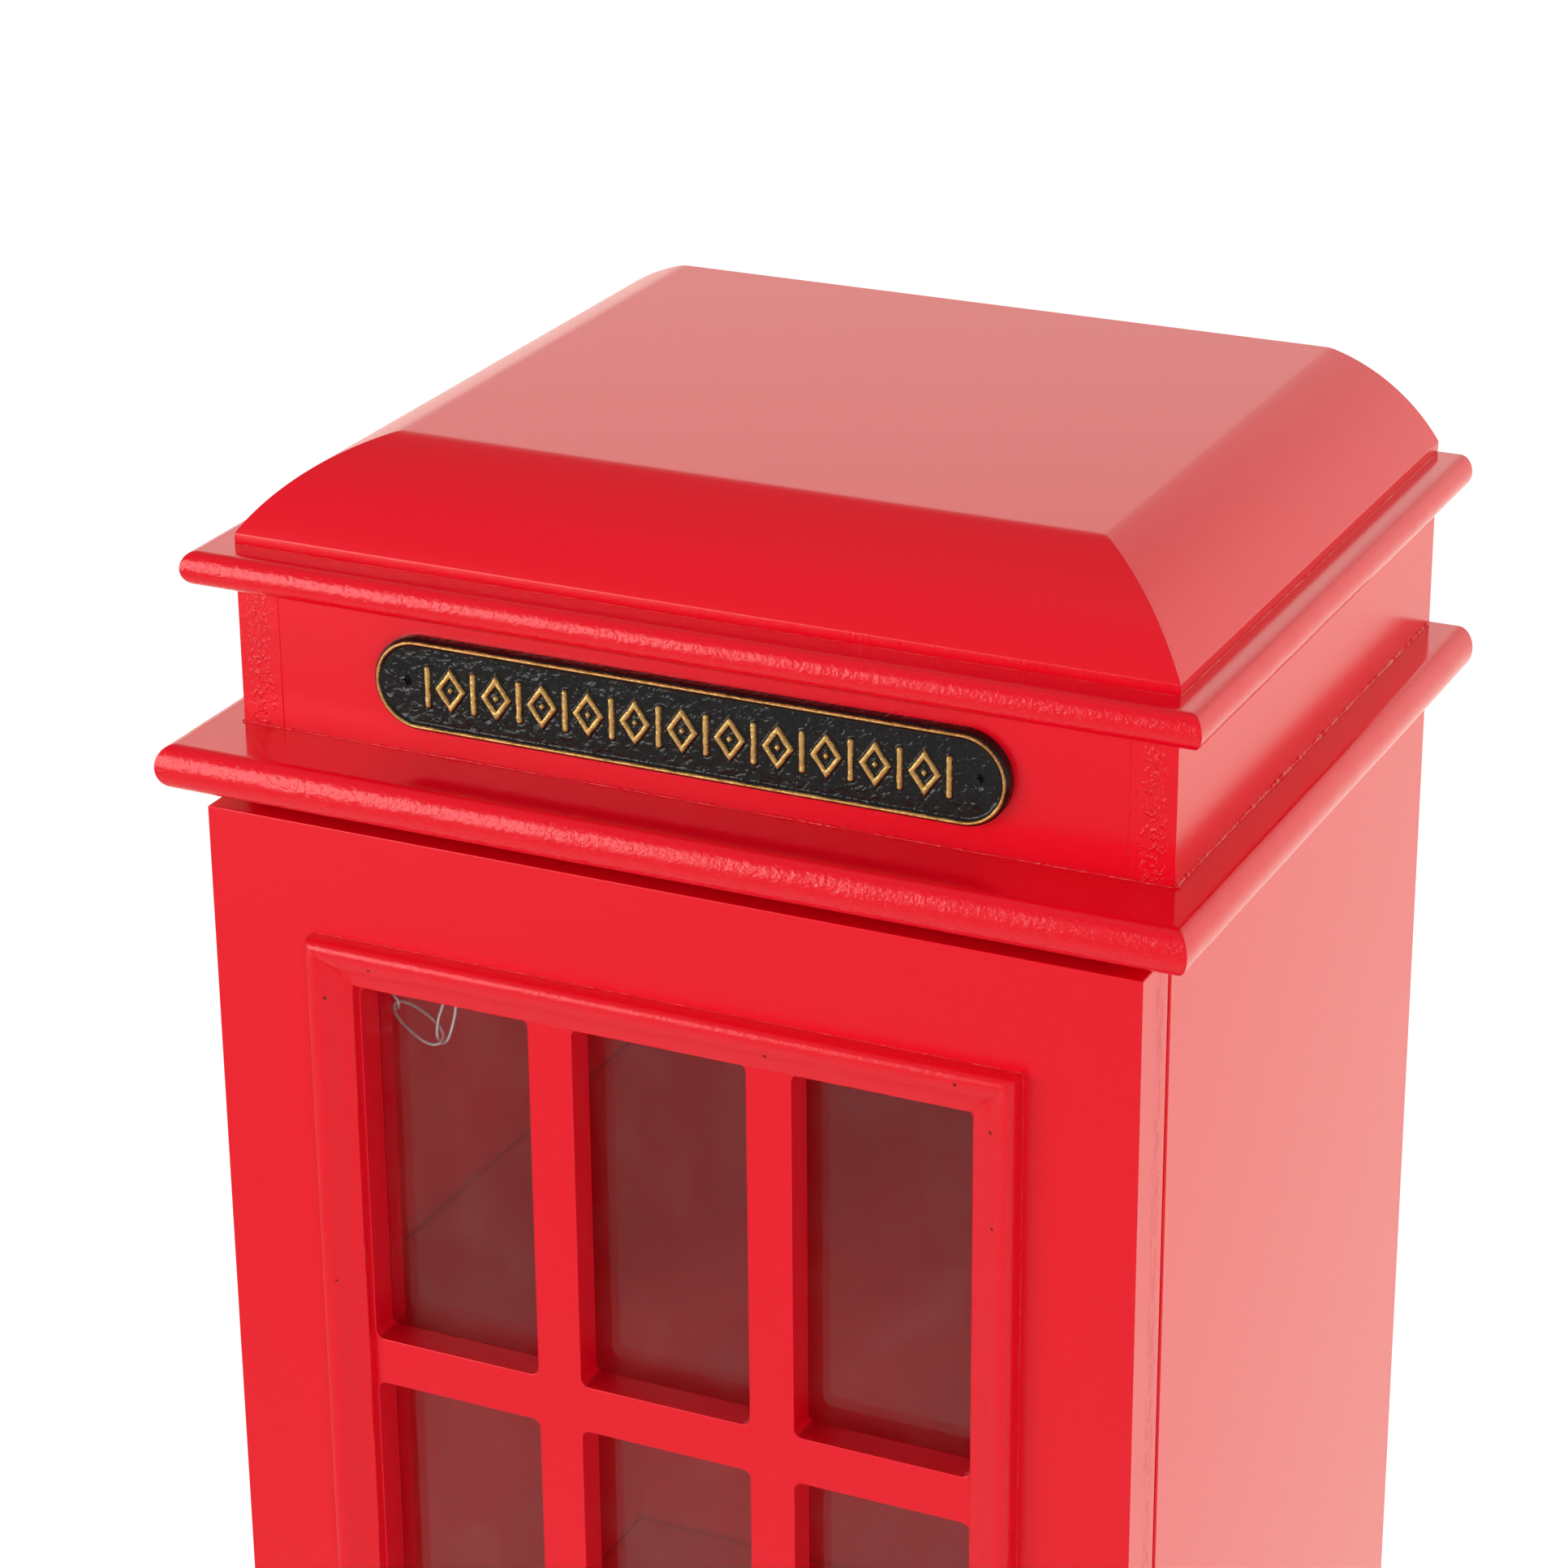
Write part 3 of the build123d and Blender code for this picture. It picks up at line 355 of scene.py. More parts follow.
# ------------------------------------------------------------ other materials
def metal(name, color, roughness, tarnish, amount, scratch=1.0, metallic=1.0):
    mat = Mat(name)
    streak = mat.noise(size=3.5, detail=3.0, roughness=0.6, at=mat.stretched(z=0.08),
                       offset=2.0)
    fine = mat.noise(size=0.5, roughness=0.6, offset=5.0)
    shade = mat.mix(mat.ramp(streak, over=(0.3, 0.7)), tint(color, 0.86), tint(color, 1.1))
    stain = mat.noise(size=6.0, detail=4.0, roughness=0.65, offset=8.0)
    shade = mat.mix(mat.ramp(stain, over=(0.46, 0.72), give=(0.0, amount)), shade, tarnish)
    gloss = mat.ramp(mat.noise(size=4.0, detail=4.0, roughness=0.7, offset=3.0),
                     over=(0.3, 0.75), give=(roughness * 0.75, roughness * 1.35))
    height = mat.add(mat.mul(streak, 3.0 * scratch * UM), mat.mul(fine, 1.5 * scratch * UM))
    return mat.done(mat.bsdf(shade, gloss, height, metallic=metallic))


ZINC = metal("zinc_plated_steel", color=(0.66, 0.66, 0.64), roughness=0.32,
             tarnish=(0.45, 0.44, 0.40), amount=0.35)
WIRE_STEEL = metal("bright_wire", color=(0.93, 0.925, 0.91), roughness=0.16, scratch=1.6,
                   tarnish=(0.6, 0.58, 0.55), amount=0.25, metallic=0.7)
BRASS = metal("aged_brass", color=(0.72, 0.50, 0.20), roughness=0.26,
              tarnish=(0.20, 0.12, 0.05), amount=0.55)


def hardboard():
    mat = Mat("hardboard")
    fibres = mat.noise(size=1.6, detail=5.0, roughness=0.7, warp=0.8, offset=1.0)
    broad = mat.noise(size=25.0, detail=3.0, roughness=0.6, offset=4.0)
    pattern = mat.cells(size=2.1).outputs["Distance"]
    color = mat.mix(mat.ramp(fibres, over=(0.25, 0.75)), (0.14, 0.075, 0.035),
                    (0.33, 0.2, 0.105))
    color = mat.mix(mat.mul(broad, 0.4), color, (0.24, 0.14, 0.07))
    height = mat.add(mat.mul(fibres, 60.0 * UM), mat.mul(pattern, 90.0 * UM))
    return mat.done(mat.bsdf(color, roughness=0.72, height=height))


def bare_wood():
    mat = Mat("bare_wood")
    along = mat.stretched(z=0.12)
    grain = mat.noise(size=5.0, detail=5.0, roughness=0.65, at=along, warp=1.4, offset=1.0)
    fibres = mat.noise(size=0.9, detail=3.0, roughness=0.6, at=along, offset=3.0)
    color = mat.mix(mat.ramp(grain, over=(0.3, 0.7)), (0.42, 0.27, 0.13), (0.68, 0.5, 0.29))
    color = mat.mix(mat.ramp(fibres, over=(0.45, 0.75), give=(0.0, 0.5)), color,
                    (0.36, 0.22, 0.1))
    height = mat.add(mat.mul(grain, 60.0 * UM), mat.mul(fibres, 30.0 * UM))
    return mat.done(mat.bsdf(color, roughness=0.62, height=height))


def plastic(name, color, roughness):
    mat = Mat(name)
    broad = mat.noise(size=7.0, detail=3.0, offset=1.0)
    fine = mat.noise(size=0.45, roughness=0.6, offset=2.0)
    shade = mat.mix(broad, tint(color, 0.94), tint(color, 1.06))
    gloss = mat.ramp(fine, over=(0.2, 0.8), give=(roughness * 0.85, roughness * 1.2))
    height = mat.add(mat.mul(fine, 9.0 * UM), mat.mul(broad, 20.0 * UM))
    return mat.done(mat.bsdf(shade, gloss, height))


HARDBOARD = hardboard()
BARE_WOOD = bare_wood()
WHITE_PLASTIC = plastic("white_plastic", color=(0.82, 0.82, 0.78), roughness=0.38)
GLIDE = plastic("black_nylon", color=(0.035, 0.035, 0.037), roughness=0.5)
FERRITE = plastic("ferrite", color=(0.09, 0.09, 0.095), roughness=0.55)
RUBBER = plastic("clear_rubber", color=(0.72, 0.72, 0.68), roughness=0.45)


def glass():
    """Sheet glass with a faint film of dust: light passes straight through."""
    mat = Mat("sheet_glass")
    index = 1.5
    backfacing = mat.make("NewGeometry").outputs["Backfacing"]
    normal = mat.bump(mat.mul(mat.noise(size=45.0, detail=1.0, offset=2.0), 16.0 * UM))
    ior = mat.mix_value(backfacing, index, 1.0 / index)
    fresnel = mat.make("Fresnel", {"IOR": ior, "Normal": normal}).outputs[0]
    clear = mat.make("BsdfTransparent", {"Color": (0.985, 0.99, 0.986)}).outputs[0]
    gloss = mat.make("BsdfGlossy", {"Roughness": 0.004, "Normal": normal},
                     distribution="GGX").outputs[0]
    pane = mat.mix_shader(fresnel, clear, gloss)
    smear = mat.noise(size=21.0, detail=4.0, roughness=0.62, at=mat.stretched(z=0.62),
                      warp=0.7, offset=6.0)
    motes = mat.noise(size=0.8, offset=9.0)
    dust = mat.add(mat.ramp(smear, over=(0.40, 0.74), give=(0.0, 0.012)),
                   mat.ramp(motes, over=(0.74, 0.86), give=(0.0, 0.05)))
    film = mat.make("BsdfDiffuse", {"Color": (0.8, 0.78, 0.76)}).outputs[0]
    return mat.done(mat.mix_shader(dust, pane, film))


GLASS = glass()


def plaque_gilding(mat, gild, rub):
    """Mask of gilt: the raised parts, worn unevenly, and strays over the ground."""
    worn = mat.noise(size=5.5, detail=3.0, roughness=0.6, offset=5.0)
    wear = mat.centred(mat.add(mat.mul(rub, 0.6), mat.mul(worn, 0.4)))
    raised = mat.ramp(mat.add(gild, mat.mul(wear, 1.1)), over=(0.26, 0.6))
    drag = mat.noise(size=1.2, detail=4.0, roughness=0.75, at=mat.stretched(x=0.35, z=2.2),
                     warp=0.9, offset=12.0)
    area_mask = mat.noise(size=11.0, offset=15.0)
    stray = mat.mul(mat.ramp(drag, over=(0.60, 0.78)), mat.ramp(area_mask, over=(0.46, 0.64)))
    # strays are strongest at the two ends, in metres along x
    from_middle = mat.abs(mat.add(mat.axes(mat.pos())[0], 0.0))
    ends = mat.ramp(from_middle, over=(0.088, 0.104), give=(0.35, 1.0))
    return mat.math("MAXIMUM", raised, mat.mul(mat.mul(stray, ends), 0.8))


def plaque_material():
    """Black lacquer with gilt rubbed over the raised parts."""
    mat = Mat("plaque_gilt_lacquer")
    gild = mat.make("Attribute", attribute_name="gild").outputs["Fac"]
    rub = mat.noise(size=1.0, detail=4.0, roughness=0.7, at=mat.stretched(x=0.55, z=2.6),
                    warp=0.5, offset=2.0)
    gilt = plaque_gilding(mat, gild, rub)
    gold = mat.mix(mat.ramp(rub, over=(0.28, 0.66)), (0.30, 0.14, 0.024), (0.74, 0.47, 0.14))
    gold = mat.mix(mat.ramp(gild, over=(0.6, 1.0), give=(0.0, 0.45)), gold,
                   (0.86, 0.60, 0.23))
    black = mat.mix(mat.noise(size=3.0, detail=3.0, roughness=0.6, offset=7.0),
                    (0.0035, 0.0036, 0.004), (0.011, 0.011, 0.012))
    lumps = mat.noise(size=3.4, roughness=0.45, warp=0.8, offset=3.0)
    fine = mat.noise(size=0.9, roughness=0.6, offset=4.0)
    height = mat.add(mat.mul(lumps, 560.0 * UM), mat.mul(fine, 70.0 * UM))
    height = mat.add(height, mat.mul(gilt, 50.0 * UM))
    black_roughness, gilt_roughness = 0.13, 0.34
    roughness = mat.mix_value(gilt, black_roughness, gilt_roughness)
    return mat.done(mat.bsdf(mat.mix(gilt, black, gold), roughness, height,
                             metallic=mat.mul(gilt, 0.6), specular=0.4))


PLAQUE = plaque_material()

BY_SLOT = {
    "red_paint": PAINT_FACE, "hardboard": HARDBOARD, "bare_wood": BARE_WOOD,
    "clear_glass": GLASS, "plaque_metal": PLAQUE, "aged_brass": BRASS, "zinc_steel": ZINC,
    "white_plastic": WHITE_PLASTIC, "magnet": FERRITE, "bumper": RUBBER,
    "glide_plastic": GLIDE,
}


def dress(node, material):
    data = NODES[node].data
    data.materials.clear()
    data.materials.append(material)


for node_name in NODES:
    dress(node_name, BY_SLOT[SLOT[node_name]])


# ------------------------------------------------------------ mesh helpers
def piece(name, mesh, mats, node=None, body=None, sharp=32.0, weighted=False):
    """Turns a bmesh into an object that rides on a body and may stand for a CAD node.
    Edges bent by more than `sharp` degrees stay sharp."""
    mesh.normal_update()
    limit = math.radians(sharp)
    for edge in mesh.edges:
        edge.smooth = len(edge.link_faces) == 2 and edge.calc_face_angle(4.0) < limit
    for face in mesh.faces:
        face.smooth = True
    data = bpy.data.meshes.new(name)
    mesh.to_mesh(data)
    mesh.free()
    for mat in mats:
        data.materials.append(mat)
    obj = bpy.data.objects.new(name, data)
    SCENE.collection.objects.link(obj)
    if weighted:
        modifier = obj.modifiers.new("normals", "WEIGHTED_NORMAL")
        modifier.keep_sharp = True
        modifier.weight = 60
    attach(obj, body or BODY[node])
    if node:
        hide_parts(node)
    return obj


def vertex(mesh, x, y, z):
    return mesh.verts.new((x * MM, y * MM, z * MM))


def face_outward(mesh):
    bmesh.ops.recalc_face_normals(mesh, faces=mesh.faces)


def merge_doubles(mesh, distance):
    bmesh.ops.remove_doubles(mesh, verts=mesh.verts, dist=distance)


def join_rows(mesh, first, second, closed=False, shift=0):
    """Quads between two rows of vertices with equal counts."""
    count = len(first)
    return [
        mesh.faces.new((first[i], first[(i + 1) % count],
                        second[(i + 1 + shift) % count], second[(i + shift) % count]))
        for i in range(count if closed else count - 1)
    ]


def fill_open(mesh, material=0):
    open_edges = [edge for edge in mesh.edges if len(edge.link_faces) == 1]
    for face in bmesh.ops.holes_fill(mesh, edges=open_edges, sides=0)["faces"]:
        face.material_index = material


def ripple(x, y, z, size, seed):
    """Smooth noise about zero."""
    return noise.noise(Vector((x / size + seed, y / size - seed * 0.7, z / size + seed * 1.3)))


def box_mm(node):
    low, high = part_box(node)
    return [c / MM for c in low], [c / MM for c in high]


def refine(node, mats, bevel, segments=3, smallest_face=90.0, pick=None, skip=None):
    """A copy of a CAD board with its long edges eased, as paint leaves them.
    smallest_face is in square mm; pick gives a face its material index."""
    mesh = bmesh.new()
    mesh.from_mesh(NODES[node].data)
    merge_doubles(mesh, 2e-6)
    bmesh.ops.dissolve_limit(mesh, angle_limit=math.radians(0.6),
                             use_dissolve_boundaries=False, verts=mesh.verts,
                             edges=mesh.edges)
    face_outward(mesh)
    area = smallest_face * MM * MM

    def wanted(edge):
        return (len(edge.link_faces) == 2 and edge.calc_face_angle(0) >= math.radians(50)
                and edge.is_convex
                and min(face.calc_area() for face in edge.link_faces) >= area
                and not (skip and skip(edge)))

    edges = [edge for edge in mesh.edges if wanted(edge)]
    if edges and bevel > 0:
        bmesh.ops.bevel(mesh, geom=edges, offset=bevel * MM, segments=segments,
                        profile=0.5, affect="EDGES", clamp_overlap=False)
    for face in mesh.faces:
        face.material_index = pick(face) if pick else 0
    return piece(node + "_painted", mesh, mats, node=node, weighted=True, sharp=50.0)


# ------------------------------------------------------------ swept blocks
CORNER_RADIUS, CORNER_STEPS = 0.45, 4
OUTWARD = {"left": (-1, 0), "front": (0, -1), "right": (1, 0), "corner": (0, 0)}


def outline(half, front, rear, side_steps, front_steps):
    """Points (x, y, side) from the left rear, round the front, to the right rear."""
    turn = front + CORNER_RADIUS
    straight = half - CORNER_RADIUS

    def corner(centre, start):
        angles = [start + math.pi / 2 * i / CORNER_STEPS for i in range(1, CORNER_STEPS)]
        return [(centre + CORNER_RADIUS * math.cos(angle),
                 turn + CORNER_RADIUS * math.sin(angle), "corner") for angle in angles]

    side = [i / side_steps for i in range(side_steps + 1)]
    across = [i / front_steps for i in range(front_steps + 1)]
    points = [(-half, rear + (turn - rear) * t, "left") for t in side]
    points += corner(-straight, math.pi)
    points += [(-straight + 2 * straight * t, front, "front") for t in across]
    points += corner(straight, -math.pi / 2)
    points += [(half, turn + (rear - turn) * t, "right") for t in side]
    return points


def sweep_block(name, node, profile, step, mats, wave, material_of, sharp=32.0):
    """Sweeps a profile round the left, front and right of a node's box, flat at
    the rear. profile is [(inset, z)] from the top edge to the bottom edge; its
    first and last rows bound flat faces."""
    low, high = box_mm(node)
    half, front, rear = high[0], low[1], high[1]
    side_steps = round((rear - front) / step)
    front_steps = round(2 * half / step)
    mesh = bmesh.new()
    rows = []
    for j, (inset, z) in enumerate(profile):
        points = outline(half - inset, front + inset, rear, side_steps, front_steps)
        row = []
        for x, y, side in points:
            if 0 < j < len(profile) - 1 and abs(y - rear) > 1e-6:
                push = wave * (ripple(x, y, z, 19.0, 1.0) + 0.5 * ripple(x, y, z, 7.0, 3.0))
                x, y = x + OUTWARD[side][0] * push, y + OUTWARD[side][1] * push
            row.append(vertex(mesh, x, y, z))
        rows.append(row)
    sides = ["front" if side == "corner" else side for _, _, side in points]
    for j in range(len(rows) - 1):
        for face, side in zip(join_rows(mesh, rows[j], rows[j + 1]), sides):
            face.material_index = material_of(side, j)
    mesh.faces.new(rows[0]).material_index = material_of("top", 0)
    mesh.faces.new(rows[-1][::-1]).material_index = material_of("bottom", 0)
    fill_open(mesh, material_of("rear", 0))
    face_outward(mesh)
    return piece(name, mesh, mats, node=node, weighted=True, sharp=sharp)


# ------------------------------------------------------------ cornices
NOSE_STEPS = 18
NOSE_FLAT = 1.2    # flat run behind the nose, above and below


def nose_profile(node, nose):
    """A half elliptical nose, `nose` deep, over the node's full height."""
    low, high = box_mm(node)
    bottom, thick = low[2], high[2] - low[2]
    rows = [(nose + NOSE_FLAT, bottom + thick), (nose + 0.4, bottom + thick)]
    for i in range(NOSE_STEPS + 1):
        angle = math.pi / 2 - math.pi * i / NOSE_STEPS
        rows.append((nose - nose * math.cos(angle),
                     bottom + thick / 2 + thick / 2 * math.sin(angle)))
    return rows + [(nose + 0.4, bottom), (nose + NOSE_FLAT, bottom)]


def cornice_material(side, row):
    if side in ("top", "bottom", "rear"):
        return 1
    # the heavy peel starts a few rows down the front
    return 0 if side == "front" and row >= 5 else 2


for cornice, nose_depth in (("lower_cornice", 5.6), ("upper_cornice", 4.6),
                            ("base_board", 5.6)):
    board_name = "base_cornice_board" if cornice == "base_board" else cornice + "_board"
    sweep_block(board_name, cornice, nose_profile(cornice, nose_depth), step=3.0,
                mats=[PAINT_NOSE, PAINT_LEDGE, PAINT_NOSE_SIDE], wave=0.12,
                material_of=cornice_material)

# ------------------------------------------------------------ roof
ROOF_LOW, ROOF_HIGH = box_mm("roof_block")
ROOF_LIP = 3.8        # height of the upright lip
ROOF_INSET = 41.5     # run of the slope from the lip to the flat top
ROOF_RADIUS = 71.3
ROOF_ARC_STEPS = 40
ROOF_LIP_ROW = ROOF_ARC_STEPS + 3


def roof_profile():
    """A flat top, an outward bulging arc, then an upright lip."""
    top, base = ROOF_HIGH[2] - ROOF_LOW[2], ROOF_LOW[2]
    rise = top - ROOF_LIP
    chord = math.hypot(ROOF_INSET, rise)
    offset = math.sqrt(ROOF_RADIUS * ROOF_RADIUS - chord * chord / 4)
    centre_x = ROOF_INSET / 2 + rise / chord * offset
    centre_z = ROOF_LIP + rise / 2 - ROOF_INSET / chord * offset
    start = math.atan2(top - centre_z, ROOF_INSET - centre_x)
    end = math.atan2(ROOF_LIP - centre_z, -centre_x)
    # inset, height above the base
    rows = [(ROOF_INSET + 3.0, top), (ROOF_INSET + 1.0, top - 0.02),
            (ROOF_INSET + 0.3, top - 0.09)]
    for i in range(1, ROOF_ARC_STEPS):
        angle = start + (end - start) * i / ROOF_ARC_STEPS
        rows.append((centre_x + ROOF_RADIUS * math.cos(angle),
                     centre_z + ROOF_RADIUS * math.sin(angle)))
    rows += [(0.22, ROOF_LIP + 0.24), (0.05, ROOF_LIP + 0.02), (0.0, ROOF_LIP - 0.35),
             (0.0, 2.2), (0.0, 1.0), (0.12, 0.35), (0.12, 0.0)]
    return [(inset, base + z) for inset, z in rows]


def roof_material(side, row):
    on_lip = side in ("left", "front", "right") and row >= ROOF_LIP_ROW
    return 1 if on_lip or side == "rear" else 0


sweep_block("roof_cap", "roof_block", roof_profile(), step=3.2,
            mats=[PAINT_ROOF, PAINT_LIP], wave=0.05, material_of=roof_material, sharp=38.0)


# ------------------------------------------------------------ boards
def faces_front(face):
    return 1 if face.normal.y < -0.7 else 0


def lines_opening(face):
    """Upright faces round the door frame's opening; x in metres."""
    near = abs(face.calc_center_median().x) < 0.1289
    return 1 if near and abs(face.normal.x) > 0.7 else 0


def at_frame_front(edge):
    """Edges against the door grid; y in metres."""
    return all(vert.co.y < -0.1165 for vert in edge.verts)


for side in ("left", "right"):
    refine("side_panel_" + side, [PAINT_SIDE], bevel=0.8)
refine("frieze_front", [PAINT_FRIEZE], bevel=0.25, segments=2)
for side in ("left", "right"):
    refine("frieze_" + side, [PAINT_FRIEZE, PAINT_GRAIN], bevel=0.35, pick=faces_front)
refine("frieze_back", [PAINT_FRIEZE], bevel=0.3, segments=2)
for side in ("front", "back", "left", "right"):
    refine("plinth_" + side, [PAINT_SIDE], bevel=0.6)
for number in (1, 2, 3, 4):
    refine(f"shelf_{number}", [PAINT_INSIDE], bevel=0.5, segments=2)
refine("back_rail", [PAINT_INSIDE], bevel=0.8)
refine("back_panel", [HARDBOARD, PAINT_INSIDE], bevel=0.0, pick=faces_front)
for side in ("left", "right", "top", "bottom"):
    refine("glass_stop_" + side, [PAINT_EDGE], bevel=0.5)
refine("door_back_frame", [PAINT_DOOR_EDGE, PAINT_WALL], bevel=0.5, pick=lines_opening,
       skip=at_frame_front)
refine("catch_housing", [WHITE_PLASTIC], bevel=0.4, segments=2, smallest_face=30)

# ------------------------------------------------------------ door grid
GRID_LOW, GRID_HIGH = box_mm("door_grid_panel")
PANE_WIDTH, PANE_HEIGHT, PANE_RADIUS = 64.4, 136.4, 3.0
BAR_WIDTH, BAR_HEIGHT = 16.6, 17.8    # upright bars, cross bars
PANE_TOP = 1133.0
GRID_EDGE = 0.42                      # easing of the front edges
GRID_CORNER = 0.7


def rounded_rectangle(centre_x, centre_z, width, height, radius, steps=8):
    points = []
    for sign_x, sign_z, start in ((1, 1, 0.0), (-1, 1, 90.0), (-1, -1, 180.0), (1, -1, 270.0)):
        for i in range(steps + 1):
            angle = math.radians(start + 90.0 * i / steps)
            points.append((
                centre_x + sign_x * (width / 2 - radius) + radius * math.cos(angle),
                centre_z + sign_z * (height / 2 - radius) + radius * math.sin(angle)))
    return points


def grid_wall(mesh, centre_x, centre_z, width, height, radius, hole):
    """The wall round a hole or round the outside, eased at the front. Returns its
    front and back rings."""
    front, back = GRID_LOW[1], GRID_HIGH[1]
    # growth of the rectangle on each side, y
    stations = []
    for i in range(4):
        angle = math.pi / 2 * i / 3
        grow = GRID_EDGE * (1 - math.sin(angle)) * (1 if hole else -1)
        stations.append((grow, front + GRID_EDGE * (1 - math.cos(angle))))
    stations += [(0.0, back - 0.3), (0.2, back)] if hole else [(0.0, back)]
    rings = []
    for grow, y in stations:
        points = rounded_rectangle(centre_x, centre_z, width + 2 * grow, height + 2 * grow,
                                   max(radius + grow, 0.05))
        rings.append([vertex(mesh, x, y, z) for x, z in points])
    for first, second in zip(rings, rings[1:]):
        for face in join_rows(mesh, first, second, closed=True):
            face.material_index = 1 if hole else 2
    return rings[0], rings[-1]


def door_grid():
    mesh = bmesh.new()
    walls = [grid_wall(mesh, 0.0, (GRID_LOW[2] + GRID_HIGH[2]) / 2,
                       GRID_HIGH[0] - GRID_LOW[0], GRID_HIGH[2] - GRID_LOW[2],
                       GRID_CORNER, hole=False)]
    for column in (-1, 0, 1):
        for row in range(6):
            centre_z = PANE_TOP - PANE_HEIGHT / 2 - row * (PANE_HEIGHT + BAR_HEIGHT)
            walls.append(grid_wall(mesh, column * (PANE_WIDTH + BAR_WIDTH), centre_z,
                                   PANE_WIDTH, PANE_HEIGHT, PANE_RADIUS, hole=True))
    for rings, normal in zip(zip(*walls), ((0, -1, 0), (0, 1, 0))):
        edges = [mesh.edges.get((ring[i], ring[(i + 1) % len(ring)]))
                 for ring in rings for i in range(len(ring))]
        filled = bmesh.ops.triangle_fill(mesh, use_beauty=True, use_dissolve=False,
                                         edges=edges, normal=normal)
        for item in filled["geom"]:
            if isinstance(item, bmesh.types.BMFace):
                item.material_index = 0
    face_outward(mesh)
    mesh.normal_update()
    # faces of the pane holes that look up are the sills; their darker paint is painted shade
    for face in mesh.faces:
        if face.material_index == 1 and face.normal.z > 0.8:
            face.material_index = 3
    mats = [PAINT_FACE, PAINT_WALL, PAINT_DOOR_EDGE, PAINT_SILL_SHADED]
    return piece("door_grid_painted", mesh, mats, node="door_grid_panel", weighted=True,
                 sharp=50.0)


door_grid()

# ------------------------------------------------------------ bead moulding
BEAD_TOP, BEAD_HALF = box_mm("bead_top")[1][2], box_mm("bead_top")[1][0]
BEAD_BOTTOM = box_mm("bead_bottom")[0][2]
BEAD_STEP = 2.5
# distance in from the outer edge, height out from the door
BEAD_SECTION = [
    (0.0, 0.0), (0.0, 2.2), (0.0, 4.3), (0.12, 5.3), (0.42, 6.3), (0.95, 7.1), (1.8, 7.7),
    (2.7, 7.95), (3.6, 7.98), (4.8, 7.85), (6.2, 7.45), (7.8, 6.7), (9.3, 5.85),
    (10.8, 5.0), (12.4, 4.25), (14.0, 3.62), (15.3, 3.25), (15.8, 3.05), (16.02, 2.6),
    (16.1, 2.0), (16.1, 0.0),
]


def bead_place(side, inward, along):
    """x and z of a point on one side of the mitred frame."""
    return {
        "top": (-BEAD_HALF + along, BEAD_TOP - inward),
        "bottom": (-BEAD_HALF + along, BEAD_BOTTOM + inward),
        "left": (-BEAD_HALF + inward, BEAD_BOTTOM + along),
        "right": (BEAD_HALF - inward, BEAD_BOTTOM + along),
    }[side]


def bead(side):
    mesh = bmesh.new()
    length = 2 * BEAD_HALF if side in ("top", "bottom") else BEAD_TOP - BEAD_BOTTOM
    steps = int(length / BEAD_STEP)
    rows = []
    for inward, height in BEAD_SECTION:
        row = []
        for i in range(steps + 1):
            along = inward + (length - 2 * inward) * (i / steps)
            x, z = bead_place(side, inward, along)
            swell = 0.0
            if 0.1 < height and 0.05 < inward < 16.0:
                swell = (0.10 * ripple(x, height, z, 15.0, 5.0)
                         + 0.05 * ripple(x, height, z, 5.0, 2.0))
                # the surface dips close to the mitres
                to_mitre = min(along - inward, (length - inward) - along)
                swell -= 0.28 * math.exp(-max(to_mitre, 0.0) / 0.7)
            row.append(vertex(mesh, x, GRID_LOW[1] - height - swell, z))
        rows.append(row)
    for j, row in enumerate(rows):
        join_rows(mesh, row, rows[(j + 1) % len(rows)])
    fill_open(mesh)
    face_outward(mesh)
    node = "bead_" + side
    return piece(node + "_moulding", mesh, [PAINT_BEAD], node=node, sharp=42.0)


for side in ("top", "bottom", "left", "right"):
    bead(side)


# ------------------------------------------------------------ paint ridges
RIDGE_SIDES = 7
FRIEZE_X, FRIEZE_REAR = box_mm("frieze_right")[1][:2]
FRIEZE_FRONT = box_mm("frieze_right")[0][1]
FRIEZE_FOOT, FRIEZE_HEAD = (corner[2] for corner in box_mm("frieze_front"))


def ridge_path(points, step):
    path = []
    for start, end in zip(points, points[1:]):
        start, end = Vector(start), Vector(end)
        count = max(1, int((end - start).length / step))
        path += [start.lerp(end, i / count) for i in range(count)]
    return path + [Vector(points[-1])]


def ridge(name, points, radius, mat, unevenness, seed, step=0.7, body="cabinet"):
    """A thin uneven line of gathered paint along a joint."""
    mesh = bmesh.new()
    path = ridge_path(points, step)
    rings = []
    for i, point in enumerate(path):
        tangent = (path[min(i + 1, len(path) - 1)] - path[max(i - 1, 0)]).normalized()
        across = tangent.cross(Vector((0, 0, 1)))
        if across.length < 0.2:
            across = tangent.cross(Vector((0, 1, 0)))
        across.normalize()
        upward = across.cross(tangent).normalized()
        swell = ripple(*point, 2.3, seed) + 0.7 * ripple(*point, 7.0, seed + 4)
        reach = max(radius * (1.0 + unevenness * swell), radius * 0.4)
        ring = []
        for j in range(RIDGE_SIDES):
            angle = 2 * math.pi * j / RIDGE_SIDES
            place = (point + across * (math.cos(angle) * reach)
                     + upward * (math.sin(angle) * reach))
            ring.append(mesh.verts.new(place * MM))
        if rings:
            join_rows(mesh, rings[-1], ring, closed=True)
        rings.append(ring)
    mesh.faces.new(rings[0][::-1])
    mesh.faces.new(rings[-1])
    face_outward(mesh)
    return piece(name, mesh, [mat], body=body, sharp=80.0)


